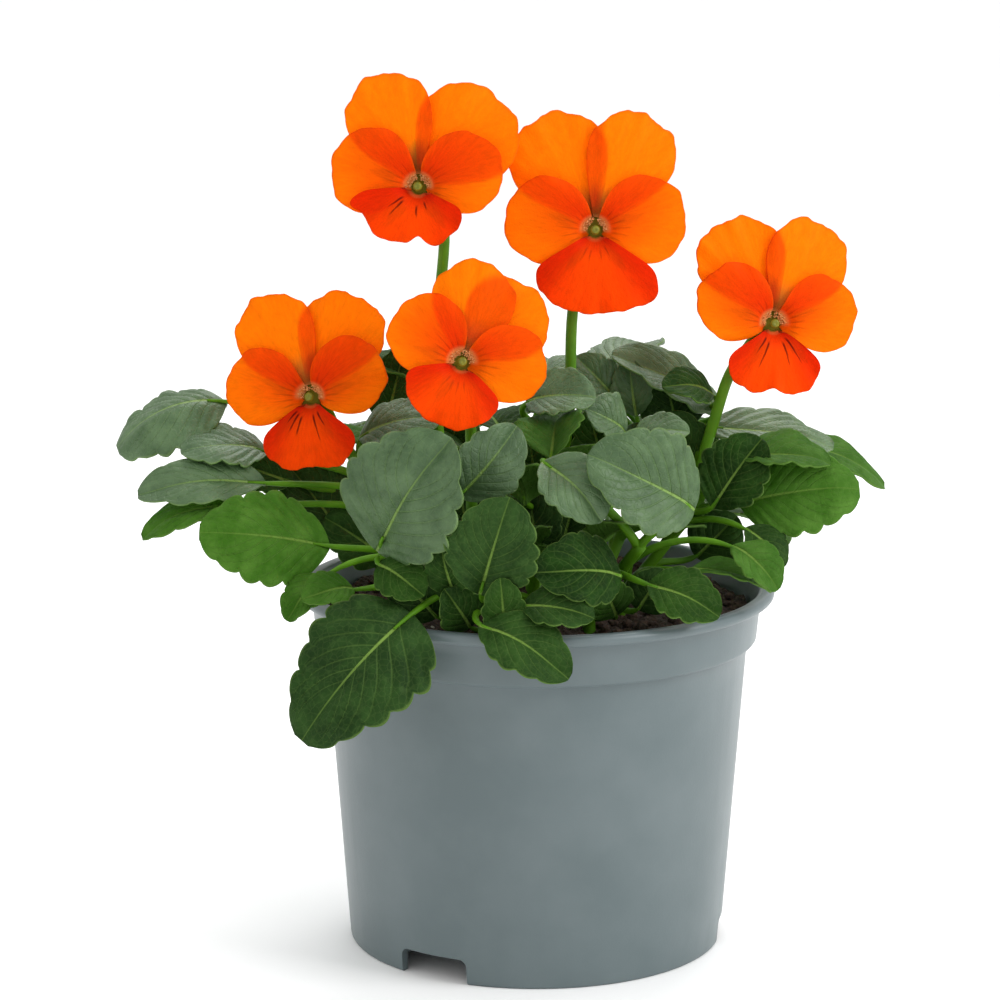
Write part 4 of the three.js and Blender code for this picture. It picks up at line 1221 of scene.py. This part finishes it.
def beards(name, bloom, seed):
    """Two tufts of tapering hairs at the roots of the side petals."""
    draw = np.random.default_rng(seed)
    place = placer(bloom)
    parts = Parts()
    for side in (-1, 1):
        for _ in range(HAIRS):
            turn = side * math.radians(draw.uniform(8, 92))
            radius = draw.uniform(1.95, 3.1)
            height = petal_height(radius, turn, PETAL_LAYERS["left"])
            length = draw.uniform(0.45, 0.95)
            lean = draw.uniform(-0.45, 0.15)
            root = place(radius, turn, height - 0.1)
            tip = place(radius + lean, turn + draw.uniform(-0.15, 0.15), height + length)
            middle = (root + tip) / 2 + draw.uniform(-0.12, 0.12, 3)
            parts.put(*tube([root, middle, tip], HAIR_RADII, 5))
    return parts.piece("beard_" + name, hair_skin, "petals")


throats = [stigma(*item) for item in BLOOMS.items()]
throats += [beards(*item, BEARD_SEED + k) for k, item in enumerate(BLOOMS.items())]
print("throat pieces:", len(throats))

# %% [markdown]
# ## Living leaf
# A pansy leaf is a deep green under a thin coat of wax. Where the coat is thick the leaf catches a
# broad soft light, and the grey-green sheen of the white surround in the wax is painted into its
# colour as well: painted sheen. Where the coat is thin the leaf is a plain dark green, and young
# leaves are fresher. The underside is paler and dull, and light from behind turns it yellow-green.
# The veins are a little paler than the blade: a midrib about a millimetre wide at its foot that thins
# out to the tip, side veins of about 0.4 mm, and between them a net with meshes of 1.6 mm. The veins
# are worked out in the blade's own coordinates, so they meet the lobes that the mesh has.
# A chain of small sums does that. It is written as a table, one step to a row: what the step makes,
# what it does, and what it is fed.

# %% Veins and masks
leaf_skin, tree = new_material("pansy_leaf_wax_and_sheen")
place = add(tree, "TexCoord").outputs["Object"]
blade = add(tree, "Attribute", attribute_name="blade").outputs["Vector"]
blade = add(tree, "SeparateXYZ", {0: blade}).outputs
net = {"Vector": place, "Scale": per_metre(1.61)}
mottle = {"Vector": place, "Scale": per_metre(6.25), "Detail": 5, "Roughness": 0.6}
known = {"along": blade["X"], "sideways": blade["Y"], "teeth": blade["Z"]}
known["net"] = add(tree, "TexVoronoi", net, feature="DISTANCE_TO_EDGE").outputs["Distance"]
known["mottle"] = add(tree, "TexNoise", mottle)
for name in ("breadth", "tone", "wax_and_sheen", "underside"):
    known[name] = add(tree, "Attribute", attribute_name=name).outputs["Fac"]
STEPS = [
    ("across", "ABSOLUTE", "sideways"),
    ("bent", "POWER", "across", VEIN_BEND),
    ("swept", "MULTIPLY", "bent", -VEIN_SWEEP),
    ("reach", "ADD", "along", VEIN_START),
    ("start", "MULTIPLY_ADD", "swept", "reach", "along"),
    ("crowd", "MULTIPLY", "teeth", VEIN_CROWD),
    ("phase", "MULTIPLY", "start", "crowd"),
    ("nearest", "PINGPONG", "phase", 0.5),
    ("side_vein", "SMOOTHSTEP", "nearest", 0.11, 0.02),
    ("past_foot", "SMOOTHSTEP", "start", 0.04, 0.1),
    ("before_tip", "SMOOTHSTEP", "start", 0.66, 0.5),
    ("thinning", "SMOOTHSTEP", "across", 1.0, 0.3, 0.25, 0.75),
    ("side_vein", "MULTIPLY", "side_vein", "past_foot"),
    ("side_vein", "MULTIPLY", "side_vein", "before_tip"),
    ("side_vein", "MULTIPLY", "side_vein", "thinning"),
    ("aside", "MULTIPLY", "across", "breadth"),
    ("rib_width", "MULTIPLY_ADD", "along", -0.42, 0.6),
    ("rib_place", "DIVIDE", "aside", "rib_width"),
    ("midrib", "SMOOTHSTEP", "rib_place", 1.0, 0.45),
    ("rib_fade", "SMOOTHSTEP", "along", 1.0, 0.1, 0.25, 1.0),
    ("midrib", "MULTIPLY", "midrib", "rib_fade"),
    ("net_vein", "SMOOTHSTEP", "net", 0.12, 0.0),
    ("patches", "SMOOTHSTEP", "mottle", 0.3, 0.72),
    # Painted highlight: a thin pale line along the edge, where the rim catches light.
    ("edge", "SMOOTHSTEP", "across", 0.95, 1.0),
    ("roughness", "SMOOTHSTEP", "wax_and_sheen", 0.0, 1.0, 0.55, 0.42),
    ("shine", "SMOOTHSTEP", "wax_and_sheen", 0.0, 1.0, 0.08, 0.6),
    ("let_through", "SMOOTHSTEP", "tone", 0.0, 0.6, 0.06, 0.3),
]
RANGE = ("Value", "From Min", "From Max", "To Min", "To Max")
for name, does, *fed in STEPS:
    fed = [known.get(one, one) for one in fed]
    if does == "SMOOTHSTEP":
        known[name] = add(tree, "MapRange", dict(zip(RANGE, fed)), interpolation_type=does)
    else:
        known[name] = add(tree, "Math", dict(enumerate(fed)), operation=does)
print("vein and mask nodes:", len(tree.nodes))

# %% Leaf colour and wax
LEAF_COATS = [  # mask, share, darker and lighter colour in patches
    ("tone", 1, "#467a1e", "#669738"),
    # The wax row paints the grey-green sheen of the white surround into the leaf colour: painted sheen.
    ("wax_and_sheen", 0.56, "#54734b", "#749068"),
    ("net_vein", 0.06, "#7d9c55", "#7d9c55"),
    ("side_vein", 0.24, "#729549", "#729549"),
    ("midrib", 0.75, "#86a84c", "#86a84c"),
    # The edge row is painted highlight: light caught by the leaf's rim.
    ("edge", 0.3, "#84a350", "#84a350"),
    ("underside", 0.75, "#5f8a38", "#5f8a38"),
]
GROOVES = {"midrib": -0.6, "side_vein": -0.45, "net_vein": -0.12}
green_ends = {"Factor": known["patches"], "A": rgba("#102707"), "B": rgba("#1d3c0c")}
green = add(tree, "Mix", green_ends, data_type="RGBA")
for mask, share, darker, lighter in LEAF_COATS:
    amount = add(tree, "Math", {0: known[mask], 1: share}, operation="MULTIPLY")
    coat_ends = {"Factor": known["patches"], "A": rgba(darker), "B": rgba(lighter)}
    coat = add(tree, "Mix", coat_ends, data_type="RGBA")
    green = add(tree, "Mix", {"Factor": amount, "A": green, "B": coat}, data_type="RGBA")
relief = known["mottle"]
for mask, depth in GROOVES.items():
    relief = add(tree, "Math", {0: known[mask], 1: depth, 2: relief}, operation="MULTIPLY_ADD")
leaf_relief = add(tree, "Bump", {"Height": relief, "Strength": 0.7, "Distance": 0.7 * MM})
leaf_face_inputs = {"Base Color": green, "Roughness": known["roughness"], "IOR": 1.42,
               "Specular IOR Level": known["shine"], "Normal": leaf_relief}
leaf_face = add(tree, "BsdfPrincipled", leaf_face_inputs)
glow = add(tree, "BsdfTranslucent", {"Color": rgba("#76a522"), "Normal": leaf_relief})
leaf_mix = add(tree, "MixShader", {0: known["let_through"], 1: leaf_face, 2: glow})
add(tree, "OutputMaterial", {"Surface": leaf_mix})
print("leaf material:", leaf_skin.name)

# %% [markdown]
# ### Juicy stem
# A young stem is full of water under a thin smooth skin. It is a lighter and yellower green than
# the leaves, blotched a little over lengths of about a centimetre, with a mild shine.

# %% Stem material
juicy = {"Roughness": 0.48, "IOR": 1.4, "Specular IOR Level": 0.2}
stem_greens = (11.1, "#38620c", "#5f921a", 0.3, 0.7)
stem_skin = blotched_material("juicy_green_stem", juicy, *stem_greens, Detail=4)
print("stem material:", stem_skin.name)

# %% Sepals and stalks
SEPAL_LOBE = 2.6
SEPAL_HALF_WIDTH = 2.0
SEPAL_SKIN = 0.5
STALK_BACK = PETAL_BACK - SPUR_LENGTH - 2 * CLEARANCE
STALK_STEPS, STEM_STEPS = 40, 30


def sepal(place, turn):
    """A pointed green blade behind the petals, with a short lobe that points back."""
    u = np.linspace(0, 1, 15)[:, None]
    v = np.linspace(-1, 1, 7)[None, :]
    reach = -SEPAL_LOBE + (SEPAL_LENGTH + SEPAL_LOBE) * u
    half = SEPAL_HALF_WIDTH * np.sin(math.pi * np.clip(0.12 + 0.88 * u, 0, 0.995)) ** 0.75
    radius = np.hypot(reach, v * half)
    around = turn + np.arctan2(v * half, reach)
    height = STALK_BACK + 0.3 + 0.9 * u**2 + 0.25 * np.abs(v)
    return sheet(place(radius, around, height), place(radius, around, height - SEPAL_SKIN))


def stalk(bloom):
    """The flower stalk: up from its shoot, over in a hook, and into the back of the bloom."""
    place = placer(bloom)
    points = [*bloom["stalk"], place(2.5, 0, STALK_BACK - 4), place(0, 0, STALK_BACK)]
    path = [spline(points, share) for share in np.linspace(0, 1, STALK_STEPS)]
    sepals = [sepal(place, math.radians(SEPAL_STEP * k)) for k in range(5)]
    return [tube(path, STALK_RADIUS * np.linspace(1.1, 0.9, STALK_STEPS)), *sepals]


print("sepals:", 5 * len(BLOOMS))

# %% [markdown]
# ## Put the shoots together
# Each shoot gives two pieces: its leaves, and its stem with petioles, flower stalks and sepals.
# Every leaf draws its small irregularities from its own seed, so one leaf can change without the
# others changing.

# %% Shoots
LEAF_SEED = 100
BELLY = 0.9
TONES = {True: (0.45, 0.75), False: (0, 0.14)}
# Shares of wax for waxy and other leaves; the share also sets how much painted sheen the colour gets.
WAX_AND_SHEEN_SHARES = {True: (0.7, 1.0), False: (0, 0.12)}


def leafy_shoot(shoot):
    """The leaves of a shoot as one piece, and what carries them and its blooms as another."""
    leaves, stems = Parts(), Parts()
    stem = [spline(stem_points(shoot), share) for share in np.linspace(0, 1, STEM_STEPS)]
    stems.put(*tube(stem, STEM_RADIUS * np.linspace(1.05, 0.85, STEM_STEPS)))
    for index, (owner, base, tip, face_way, width, arch, fold, *belly) in enumerate(all_leaves):
        if owner != shoot:
            continue
        draw = np.random.default_rng(LEAF_SEED + index)
        base, tip, up = (np.array(one, float) for one in (base, tip, face_way))
        along = unit(tip - base)
        up = unit(up - along * up.dot(along))
        belly = belly[0] if belly else BELLY
        blade_sheet, own, breadth = leaf_blade(base, tip, up, width, arch, fold, belly, draw)
        tone = draw.uniform(*TONES[index in FRESH_LEAVES])
        wax_and_sheen = draw.uniform(*WAX_AND_SHEEN_SHARES[index in WAX_AND_SHEEN_LEAVES])
        both = {"blade": own, "breadth": breadth, "tone": tone, "wax_and_sheen": wax_and_sheen}
        leaves.put(*blade_sheet, **both, underside=np.repeat((0, 1), len(own)))
        stems.put(*tube(*petiole(shoot, base, tip, up, arch), 8))
    for bloom in BLOOMS.values():
        if bloom["shoot"] == shoot:
            for part in stalk(bloom):
                stems.put(*part)
    return (
        leaves.piece("leaves_" + shoot, leaf_skin, "foliage", "shoot_" + shoot),
        stems.piece("stems_" + shoot, stem_skin, "foliage", "shoot_" + shoot),
    )


foliage = [piece for shoot in SHOOTS for piece in leafy_shoot(shoot)]
leaf_points = sum(len(piece.data.vertices) for piece in foliage[::2])
print("foliage pieces:", len(foliage), "leaf points:", leaf_points)

# %% Finish
bpy.context.view_layer.update()
